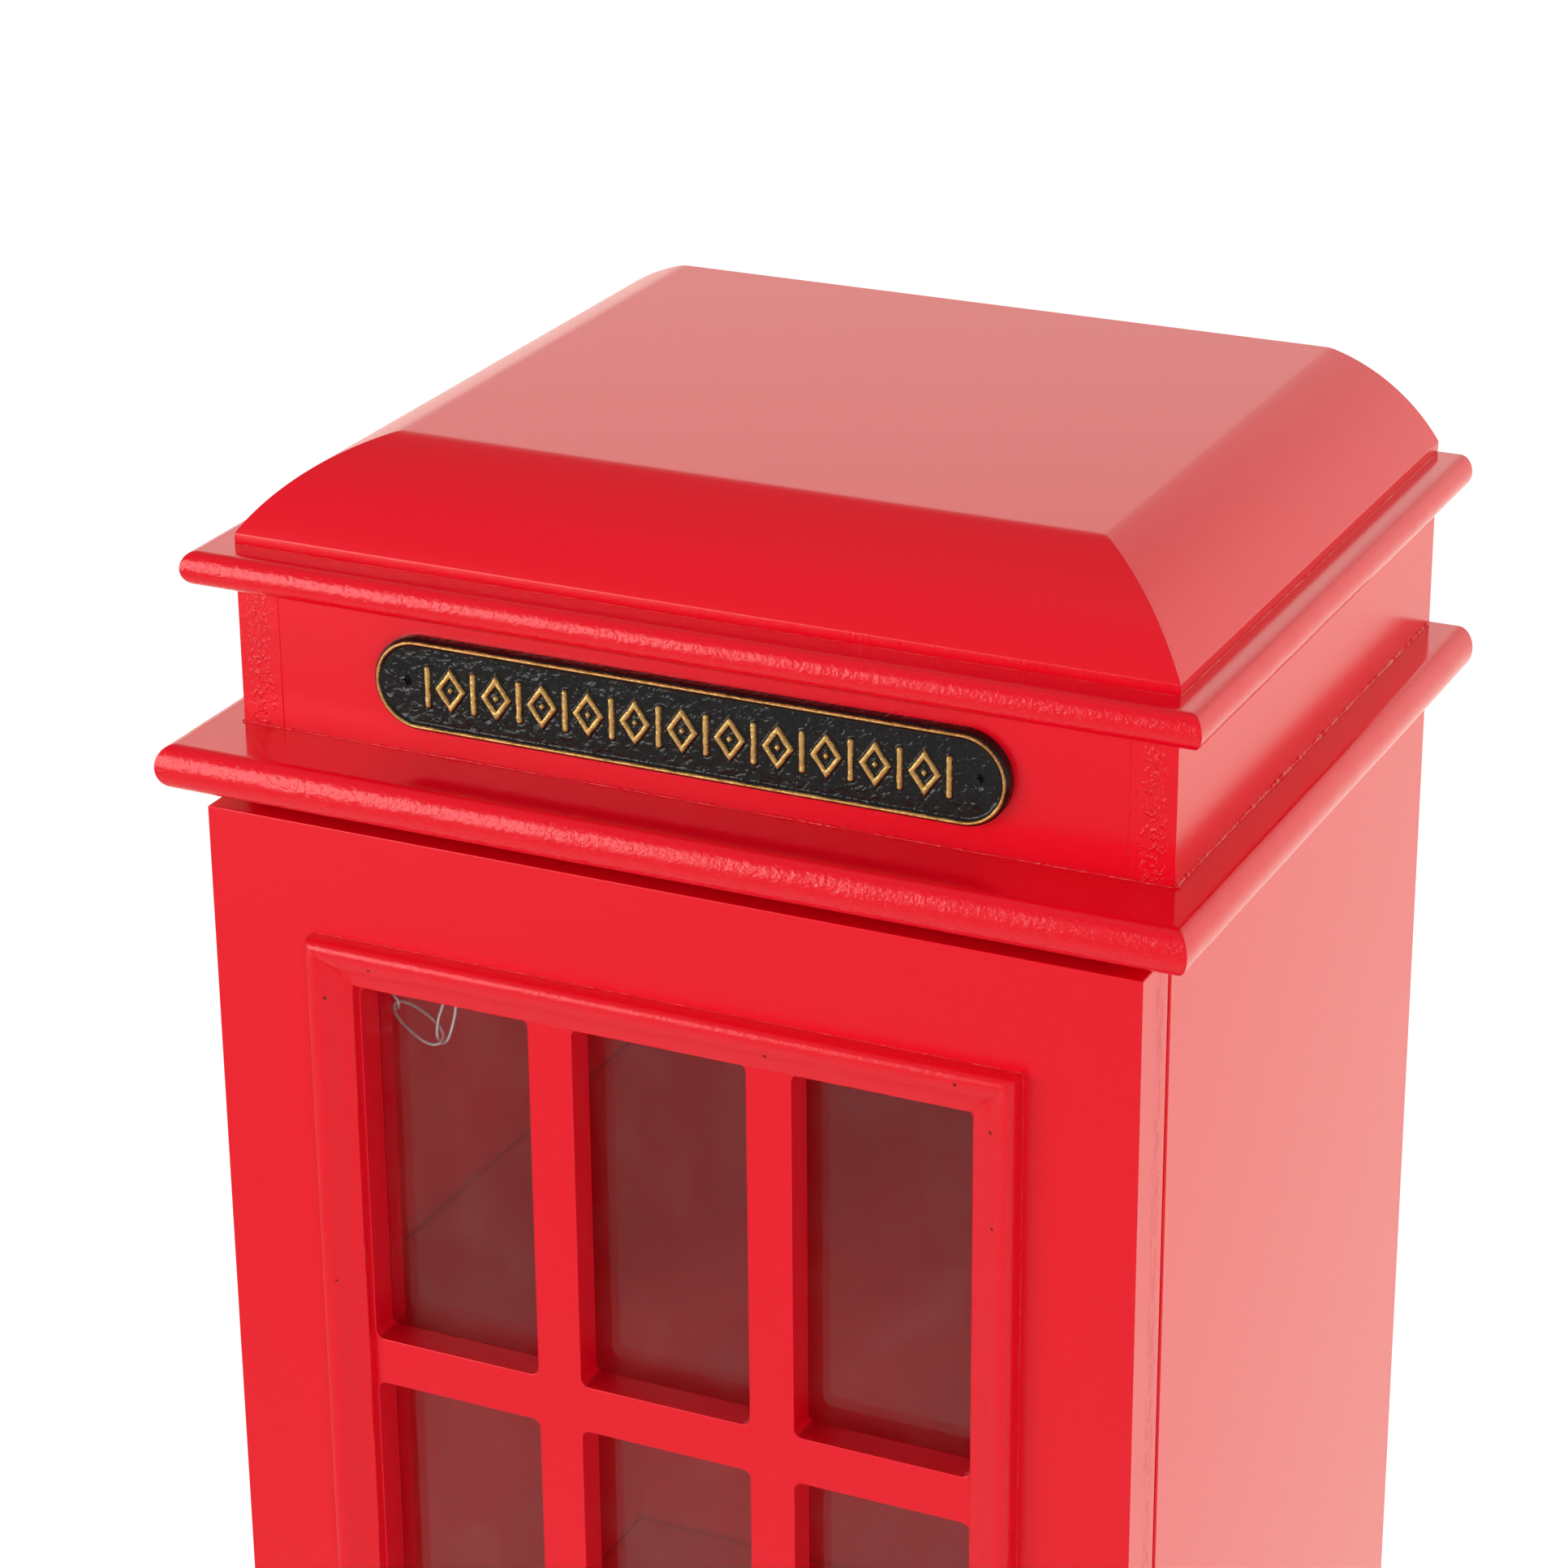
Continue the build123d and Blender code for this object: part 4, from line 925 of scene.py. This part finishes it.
def round_frieze(z):
    """Left rear, left front, right front and right rear of the frieze."""
    rear = FRIEZE_REAR - 2
    return [(-FRIEZE_X, rear, z), (-FRIEZE_X, FRIEZE_FRONT, z),
            (FRIEZE_X, FRIEZE_FRONT, z), (FRIEZE_X, rear, z)]


SEAM_Y = FRIEZE_FRONT + 0.05
BEAD_CORNERS = [(x, GRID_LOW[1], z) for x, z in (
    (-BEAD_HALF, BEAD_TOP), (BEAD_HALF, BEAD_TOP), (BEAD_HALF, BEAD_BOTTOM),
    (-BEAD_HALF, BEAD_BOTTOM), (-BEAD_HALF, BEAD_TOP))]

ridge("paint_line_frieze_foot", round_frieze(FRIEZE_FOOT)[:3], radius=0.46,
      mat=PAINT_BUILD, unevenness=1.1, seed=1.0, step=0.6)
ridge("paint_line_frieze_foot_right", round_frieze(FRIEZE_FOOT)[2:], radius=0.75,
      mat=PAINT_BUILD, unevenness=0.9, seed=6.0, step=0.6)
ridge("paint_line_frieze_head", round_frieze(FRIEZE_HEAD), radius=0.3,
      mat=PAINT_EDGE, unevenness=0.5, seed=2.0, step=0.9)
ridge("paint_line_roof_foot", round_frieze(ROOF_LOW[2]), radius=0.26,
      mat=PAINT_BUILD, unevenness=0.9, seed=3.0)
ridge("paint_line_right_seam",
      [(154.2, SEAM_Y, FRIEZE_FOOT + 0.3), (153.9, SEAM_Y, FRIEZE_HEAD - 0.5)], radius=0.24,
      mat=PAINT_EDGE, unevenness=0.7, seed=4.0)
ridge("paint_line_bead_foot", BEAD_CORNERS, radius=0.34,
      mat=PAINT_BUILD, unevenness=1.0, seed=5.0, body="door")

# ------------------------------------------------------------ plaque
PLAQUE_LOW, PLAQUE_HIGH = box_mm("plaque")
PLAQUE_Z = (PLAQUE_LOW[2] + PLAQUE_HIGH[2]) / 2
PLAQUE_RADIUS = (PLAQUE_HIGH[2] - PLAQUE_LOW[2]) / 2                    # round ends
PLAQUE_STRAIGHT = (PLAQUE_HIGH[0] - PLAQUE_LOW[0]) / 2 - PLAQUE_RADIUS  # half of the run
PLAQUE_THICK = 4.2
PLAQUE_EASE = 1.2                                  # radius of the outer edge
PITCH = 17.2                                       # from lozenge to lozenge
LOZENGE_X, LOZENGE_Z = 6.2, 8.6                    # half diagonals
BAR_X, BAR_Z, BAR_ROUND = 1.35, 7.7, 1.2           # half sizes and corner radius
NAIL_X = 104.0
PLAQUE_END_COLUMNS = 36
PLAQUE_MID_COLUMNS = 620
PLAQUE_ROWS = 112


def clamp(value):
    return min(max(value, 0.0), 1.0)


def smoothstep(t):
    return t * t * (3 - 2 * t)


def bell(distance, width):
    return math.exp(-(distance / width) ** 2)


def ornament(x, z):
    """Signed distance to the relief, negative inside: hollow lozenges with a stud,
    and upright bars between them."""
    across = abs(x - max(-5, min(5, round(x / PITCH))) * PITCH)
    lozenge = ((across * LOZENGE_Z + abs(z) * LOZENGE_X - LOZENGE_X * LOZENGE_Z)
               / math.hypot(LOZENGE_X, LOZENGE_Z))
    hollow = abs(lozenge + 1.35) - 1.3
    stud = across * 1.3 + abs(z) - 1.7
    shifted = x - PITCH / 2
    across = abs(shifted - max(-6, min(5, round(shifted / PITCH))) * PITCH)
    out_x, out_z = across - BAR_X + BAR_ROUND, abs(z) - BAR_Z + BAR_ROUND
    bar = (math.hypot(max(out_x, 0), max(out_z, 0)) + min(max(out_x, out_z), 0)
           - BAR_ROUND)
    return min(hollow, stud, bar)


def plaque_surface(x, z):
    """Height out from the frieze, and how much gilt, at x and z from the centre."""
    edge = PLAQUE_RADIUS - math.hypot(max(0.0, abs(x) - PLAQUE_STRAIGHT), z)
    left = PLAQUE_EASE - max(0.0, min(edge, PLAQUE_EASE))
    height = PLAQUE_THICK - (PLAQUE_EASE
                             - math.sqrt(max(PLAQUE_EASE * PLAQUE_EASE - left ** 2, 0.0)))
    # lowered ground inside the rim
    inside = clamp((edge - 2.2) / 0.9)
    height -= 0.55 * smoothstep(inside)
    rim = smoothstep(1 - min(abs(edge - 1.55) / 0.95, 1.0))
    height += 0.80 * rim
    waves = 0.10 * ripple(x, 0, z, 5.0, 3.0) + 0.06 * ripple(x, 0, z, 2.0, 8.0)
    distance = ornament(x, z) + 0.22 * ripple(x, 0, z, 2.6, 6.0)
    # groove round each shape
    height -= 0.12 * bell(distance - 0.35, 0.35)
    relief = smoothstep(clamp(-distance / 0.85))
    height += 1.25 * relief + waves * inside
    # small bumps in shallow rings where the nails are drowned in lacquer
    for sign in (-1, 1):
        to_nail = math.hypot(x - sign * NAIL_X, z)
        height += 0.30 * bell(to_nail, 1.3) - 0.22 * bell(to_nail - 2.0, 0.7)
    gilt = min(1.0, 1.25 * rim) * (0.9 + 0.5 * ripple(x, 5, z, 6.0, 2.0))
    return height, max(gilt, relief)


def plaque_columns():
    """x of each column of vertices, closer together at the round ends."""
    count = PLAQUE_END_COLUMNS
    ends = [PLAQUE_STRAIGHT + PLAQUE_RADIUS * math.sin(math.pi / 2 * i / count)
            for i in range(1, count + 1)]
    middle = [-PLAQUE_STRAIGHT + 2 * PLAQUE_STRAIGHT * i / PLAQUE_MID_COLUMNS
              for i in range(PLAQUE_MID_COLUMNS + 1)]
    return [-x for x in reversed(ends)] + middle + ends


def plaque():
    mesh = bmesh.new()
    gild = mesh.verts.layers.float.new("gild")
    columns = []
    for x in plaque_columns():
        beyond = max(0.0, abs(x) - PLAQUE_STRAIGHT)
        half_height = math.sqrt(max(PLAQUE_RADIUS * PLAQUE_RADIUS - beyond * beyond, 1e-4))
        column = []
        for row in range(PLAQUE_ROWS + 1):
            # rows gather towards the top and bottom edges
            spread = (-math.cos(math.pi * row / PLAQUE_ROWS) * 0.25
                      + (2 * row / PLAQUE_ROWS - 1) * 0.75)
            z = max(-1.0, min(1.0, spread)) * half_height
            height, gilt = plaque_surface(x, z)
            vert = vertex(mesh, x, FRIEZE_FRONT - height, PLAQUE_Z + z)
            vert[gild] = gilt
            column.append(vert)
        columns.append(column)
    for first, second in zip(columns, columns[1:]):
        for r in range(PLAQUE_ROWS):
            mesh.faces.new((first[r], second[r], second[r + 1], first[r + 1]))
    # side wall back to the frieze, then the back face
    rim = ([column[-1] for column in columns] + columns[-1][:-1][::-1]
           + [column[0] for column in reversed(columns[:-1])] + columns[0][1:-1])
    wall = []
    for vert in rim:
        foot = mesh.verts.new((vert.co.x, FRIEZE_FRONT * MM, vert.co.z))
        foot[gild] = 0.0
        wall.append(foot)
    join_rows(mesh, rim, wall, closed=True)
    mesh.faces.new(wall)
    merge_doubles(mesh, 1e-6)
    face_outward(mesh)
    return piece("plaque_cast", mesh, [PLAQUE], node="plaque", sharp=60.0)


plaque()

# ------------------------------------------------------------ stay chain
LINK_STEPS, WIRE_SIDES = 72, 12
LAST_LINK_GROWTH = 3.6
# name, CAD node, where the half is fixed
CHAIN_HALVES = [
    ("stay_chain_cabinet_half", "chain_frame_links", (-146.506, -93.301, 1125.367)),
    ("stay_chain_door_half", "chain_door_links", (-83.446, -101.029, 1151.574)),
]


def closed_tube(mesh, path, radius):
    count = len(path)
    reference = (path[1] - path[0]).normalized().orthogonal().normalized()
    rings = []
    for i in range(count):
        tangent = (path[(i + 1) % count] - path[i - 1]).normalized()
        reference = (reference - tangent * reference.dot(tangent)).normalized()
        binormal = tangent.cross(reference)
        angles = [2 * math.pi * j / WIRE_SIDES for j in range(WIRE_SIDES)]
        rings.append([
            mesh.verts.new(path[i] + (reference * math.cos(angle)
                                      + binormal * math.sin(angle)) * radius)
            for angle in angles])

    def mismatch(shift):
        return sum((rings[-1][j].co - rings[0][(j + shift) % WIRE_SIDES].co).length
                   for j in range(WIRE_SIDES))

    for first, second in zip(rings, rings[1:]):
        join_rows(mesh, first, second, closed=True)
    # the last ring is turned to meet the first without a twist
    join_rows(mesh, rings[-1], rings[0], closed=True,
              shift=min(range(WIRE_SIDES), key=mismatch))


def islands(node):
    """Vertex clusters of a CAD node, one per solid, in metres."""
    mesh = bmesh.new()
    mesh.from_mesh(NODES[node].data)
    merge_doubles(mesh, 2e-6)
    seen, found = set(), []
    for start in mesh.verts:
        if start.index in seen:
            continue
        stack, group = [start], []
        seen.add(start.index)
        while stack:
            vert = stack.pop()
            group.append(np.array(vert.co))
            for edge in vert.link_edges:
                other = edge.other_vert(vert)
                if other.index not in seen:
                    seen.add(other.index)
                    stack.append(other)
        found.append(np.array(group))
    mesh.free()
    return found


def signed_power(value, exponent):
    return math.copysign(abs(value) ** exponent, value)


def link_path(group, pivot, growth):
    """Centre line and wire radius of a slightly pear shaped link, fuller at its far
    end, fitted to a CAD link. All in metres."""
    centre = group.mean(0)
    _, _, frame_axes = np.linalg.svd(group - centre, full_matrices=False)
    long_axis, wide_axis, thin_axis = (Vector(axis) for axis in frame_axes)
    if long_axis.dot(Vector(centre - pivot)) < 0:
        long_axis = -long_axis
    half_length, half_width, radius = ((group - centre) @ frame_axes.T).max(0)
    path = []
    for i in range(LINK_STEPS):
        turn = 2 * math.pi * i / LINK_STEPS
        cosine, sine = math.cos(turn), math.sin(turn)
        x = (half_length - radius + growth / 2) * signed_power(cosine, 0.82) + growth / 2
        y = (half_width - radius) * signed_power(sine, 0.9) * (1.0 + 0.14 * cosine)
        z = 0.10 * radius * math.sin(2 * turn)
        path.append(Vector(centre) + long_axis * x + wide_axis * y + thin_axis * z)
    return path, radius


def chain(name, node, fixing):
    """Links of bright wire. The last one reaches on to meet the other half."""
    mesh = bmesh.new()
    pivot = np.array(fixing) * MM
    groups = sorted(islands(node), key=lambda group: np.linalg.norm(group.mean(0) - pivot))
    for i, group in enumerate(groups):
        growth = LAST_LINK_GROWTH * MM if i == len(groups) - 1 else 0.0
        path, radius = link_path(group, pivot, growth)
        closed_tube(mesh, path, radius * 0.9)
    face_outward(mesh)
    return piece(name, mesh, [WIRE_STEEL], node=node, sharp=80.0)


for half_chain in CHAIN_HALVES:
    chain(*half_chain)
for eye in ("chain_frame_eye", "chain_door_eye"):
    dress(eye, WIRE_STEEL)

# ------------------------------------------------------------ stage, in metres
WORLD_LEVELS = {"back": 1.41, "right": 0.42, "left": 0.60, "front": 0.29, "over": 0.25}
FLOOR_LEVELS = {"floor_back": 0.89, "floor_side": 0.12}
FLOOR_RADII = [0.4, 0.8, 1.2, 1.8, 2.6, 3.6, 5.0, 8.0, 14.0, 30.0]
FLOOR_SECTORS = 96
CLEAN_WHITE = {"Color": (1, 1, 1), "Strength": 1.05}


def floor_material():
    """Grey floor with a lit sweep; the camera sees it fade to clean white."""
    mat = Mat("studio_floor")
    x, y, _ = mat.axes(mat.make("NewGeometry").outputs["Position"])
    distance = mat.length(x, y)
    grey = mat.mix(mat.noise(size=300.0, detail=3.0), (0.74, 0.735, 0.73),
                   (0.79, 0.785, 0.78))
    surface = mat.bsdf(grey, roughness=0.6)
    # glow behind and to the right
    back = mat.mul(mat.ramp(y, over=(-0.5, 1.1)), mat.ramp(distance, over=(0.35, 1.3)))
    side = mat.mul(mat.mul(mat.ramp(x, over=(0.2, 1.6)), mat.ramp(distance, over=(0.5, 1.6))),
                   mat.ramp(y, over=(0.6, -0.6)))
    glow = mat.add(mat.mul(back, mat.level(FLOOR_LEVELS, "floor_back")),
                   mat.mul(side, mat.level(FLOOR_LEVELS, "floor_side")))
    emission = mat.make("Emission", {"Color": (1.0, 0.985, 0.86), "Strength": glow})
    lit = mat.make("AddShader", {0: surface, 1: emission.outputs[0]}).outputs[0]
    white = mat.make("Emission", CLEAN_WHITE).outputs[0]
    camera_ray = mat.make("LightPath").outputs["Is Camera Ray"]
    fade = mat.mul(mat.ramp(distance, over=(0.45, 1.7)), camera_ray)
    return mat.done(mat.mix_shader(fade, lit, white))


def floor():
    mesh = bmesh.new()
    centre = mesh.verts.new((0, 0, 0))
    angles = [2 * math.pi * i / FLOOR_SECTORS for i in range(FLOOR_SECTORS)]
    inner = None
    for radius in FLOOR_RADII:
        ring = [mesh.verts.new((radius * math.cos(angle), radius * math.sin(angle), 0))
                for angle in angles]
        for i in range(FLOOR_SECTORS):
            after = (i + 1) % FLOOR_SECTORS
            if inner:
                mesh.faces.new((inner[i], ring[i], ring[after], inner[after]))
            else:
                mesh.faces.new((centre, ring[i], ring[after]))
        inner = ring
    data = bpy.data.meshes.new("studio_floor")
    mesh.to_mesh(data)
    mesh.free()
    obj = bpy.data.objects.new("studio_floor", data)
    SCENE.collection.objects.link(obj)
    material = floor_material()
    data.materials.append(material)
    material.cycles.emission_sampling = "NONE"


floor()


def build_world():
    """A lit band round the horizon, strongest behind, dim overhead."""
    world = bpy.data.worlds.new("studio")
    world.use_nodes = True
    SCENE.world = world
    sky = Nodes(world.node_tree, "OutputWorld")
    generated = sky.make("TexCoord").outputs["Generated"]
    x, y, z = sky.axes(
        sky.make("VectorMath", {0: generated}, operation="NORMALIZE").outputs[0])
    band = sky.ramp(z, over=(0.66, 0.34))
    back = sky.ramp(y, over=(-0.35, 0.45))
    rest = sky.sub(1.0, back)
    right = sky.mul(sky.ramp(x, over=(0.2, 0.85)), rest)
    left = sky.mul(sky.ramp(x, over=(-0.2, -0.85)), rest)
    front = sky.sub(sky.sub(rest, right), left)

    def lit(part, name):
        return sky.mul(part, sky.level(WORLD_LEVELS, name))

    horizon = sky.add(sky.add(lit(back, "back"), lit(right, "right")),
                      sky.add(lit(left, "left"), lit(front, "front")))
    strength = sky.mix_value(band, sky.level(WORLD_LEVELS, "over"), horizon)
    color = sky.mix(sky.ramp(y, over=(-0.3, 0.4)), (1.0, 0.97, 0.95), (1.0, 0.985, 0.90))
    light = sky.make("Background", {"Color": color, "Strength": strength}).outputs[0]
    clean = sky.make("Background", CLEAN_WHITE).outputs[0]
    camera_ray = sky.make("LightPath").outputs["Is Camera Ray"]
    sky.finish(sky.mix_shader(camera_ray, light, clean))


build_world()

# ------------------------------------------------------------ lights
WARM = (1.0, 0.97, 0.94)
# a large soft box in front, to the left of the camera
SOFT_BOX = {"location": (-1.22, -1.40, 1.42), "target": (-0.35, 0.0, 1.25),
            "size": (1.25, 1.2)}


def area(name, location, target, size, radiance, color=WARM, glossy=False, diffuse=True):
    width, height = size
    light = bpy.data.lights.new(name, "AREA")
    light.shape = "RECTANGLE"
    light.size, light.size_y = width, height
    light.energy = radiance * math.pi * width * height
    light.color = color
    obj = bpy.data.objects.new(name, light)
    SCENE.collection.objects.link(obj)
    obj.location = location
    obj.rotation_mode = "QUATERNION"
    obj.rotation_quaternion = (Vector(target) - Vector(location)).to_track_quat("-Z", "Y")
    obj.visible_camera = False
    obj.visible_glossy = glossy
    obj.visible_diffuse = diffuse
    obj.visible_transmission = diffuse


# the soft box is split: one light for reflections, one for everything else
area("softbox_gloss", **SOFT_BOX, radiance=3.9, color=(1.0, 0.975, 0.95), glossy=True,
     diffuse=False)
area("key_left", **SOFT_BOX, radiance=3.65)
area("fill_front", location=(1.5, -2.4, 1.7), target=(0, 0, 0.9), size=(1.6, 1.6),
     radiance=3.25)
area("fill_top", location=(0.2, -0.2, 3.2), target=(0, 0, 1.2), size=(1.8, 1.8),
     radiance=0.86)
area("fill_right", location=(2.6, 0.4, 1.7), target=(0, 0, 0.9), size=(1.6, 1.6),
     radiance=0.08)

# ------------------------------------------------------------ camera
CAMERA_PLACE = (0.62008, -1.33126, 1.79558)
CAMERA_YAW, CAMERA_PITCH, CAMERA_ROLL = (math.radians(a) for a in (25.48, -22.82, 0.48))
SENSOR_WIDTH, LENS = 36.0, 104.61764    # mm


def camera():
    forward = Vector((-math.sin(CAMERA_YAW) * math.cos(CAMERA_PITCH),
                      math.cos(CAMERA_YAW) * math.cos(CAMERA_PITCH),
                      math.sin(CAMERA_PITCH)))
    right = Vector((math.cos(CAMERA_YAW), math.sin(CAMERA_YAW), 0.0))
    down = forward.cross(right)
    cosine, sine = math.cos(CAMERA_ROLL), math.sin(CAMERA_ROLL)
    rolled_right = right * cosine + down * sine
    rolled_down = -right * sine + down * cosine
    rotation = Matrix((rolled_right, -rolled_down, -forward)).transposed()
    data = bpy.data.cameras.new("photo_camera")
    data.sensor_width = SENSOR_WIDTH
    data.lens = LENS
    data.clip_start, data.clip_end = 0.05, 100.0
    obj = bpy.data.objects.new("photo_camera", data)
    SCENE.collection.objects.link(obj)
    obj.matrix_world = Matrix.Translation(CAMERA_PLACE) @ rotation.to_4x4()
    SCENE.camera = obj


def render_settings():
    view = SCENE.view_settings
    view.view_transform = "Standard"
    view.look = "None"
    view.exposure = 0.0
    view.gamma = 1.0
    cycles = SCENE.cycles
    cycles.use_denoising = True
    cycles.denoiser = "OPENIMAGEDENOISE"
    cycles.denoising_input_passes = "RGB_ALBEDO_NORMAL"
    cycles.denoising_prefilter = "FAST"
    cycles.max_bounces = 12
    cycles.transparent_max_bounces = 16
    cycles.sample_clamp_indirect = 8.0


camera()
render_settings()
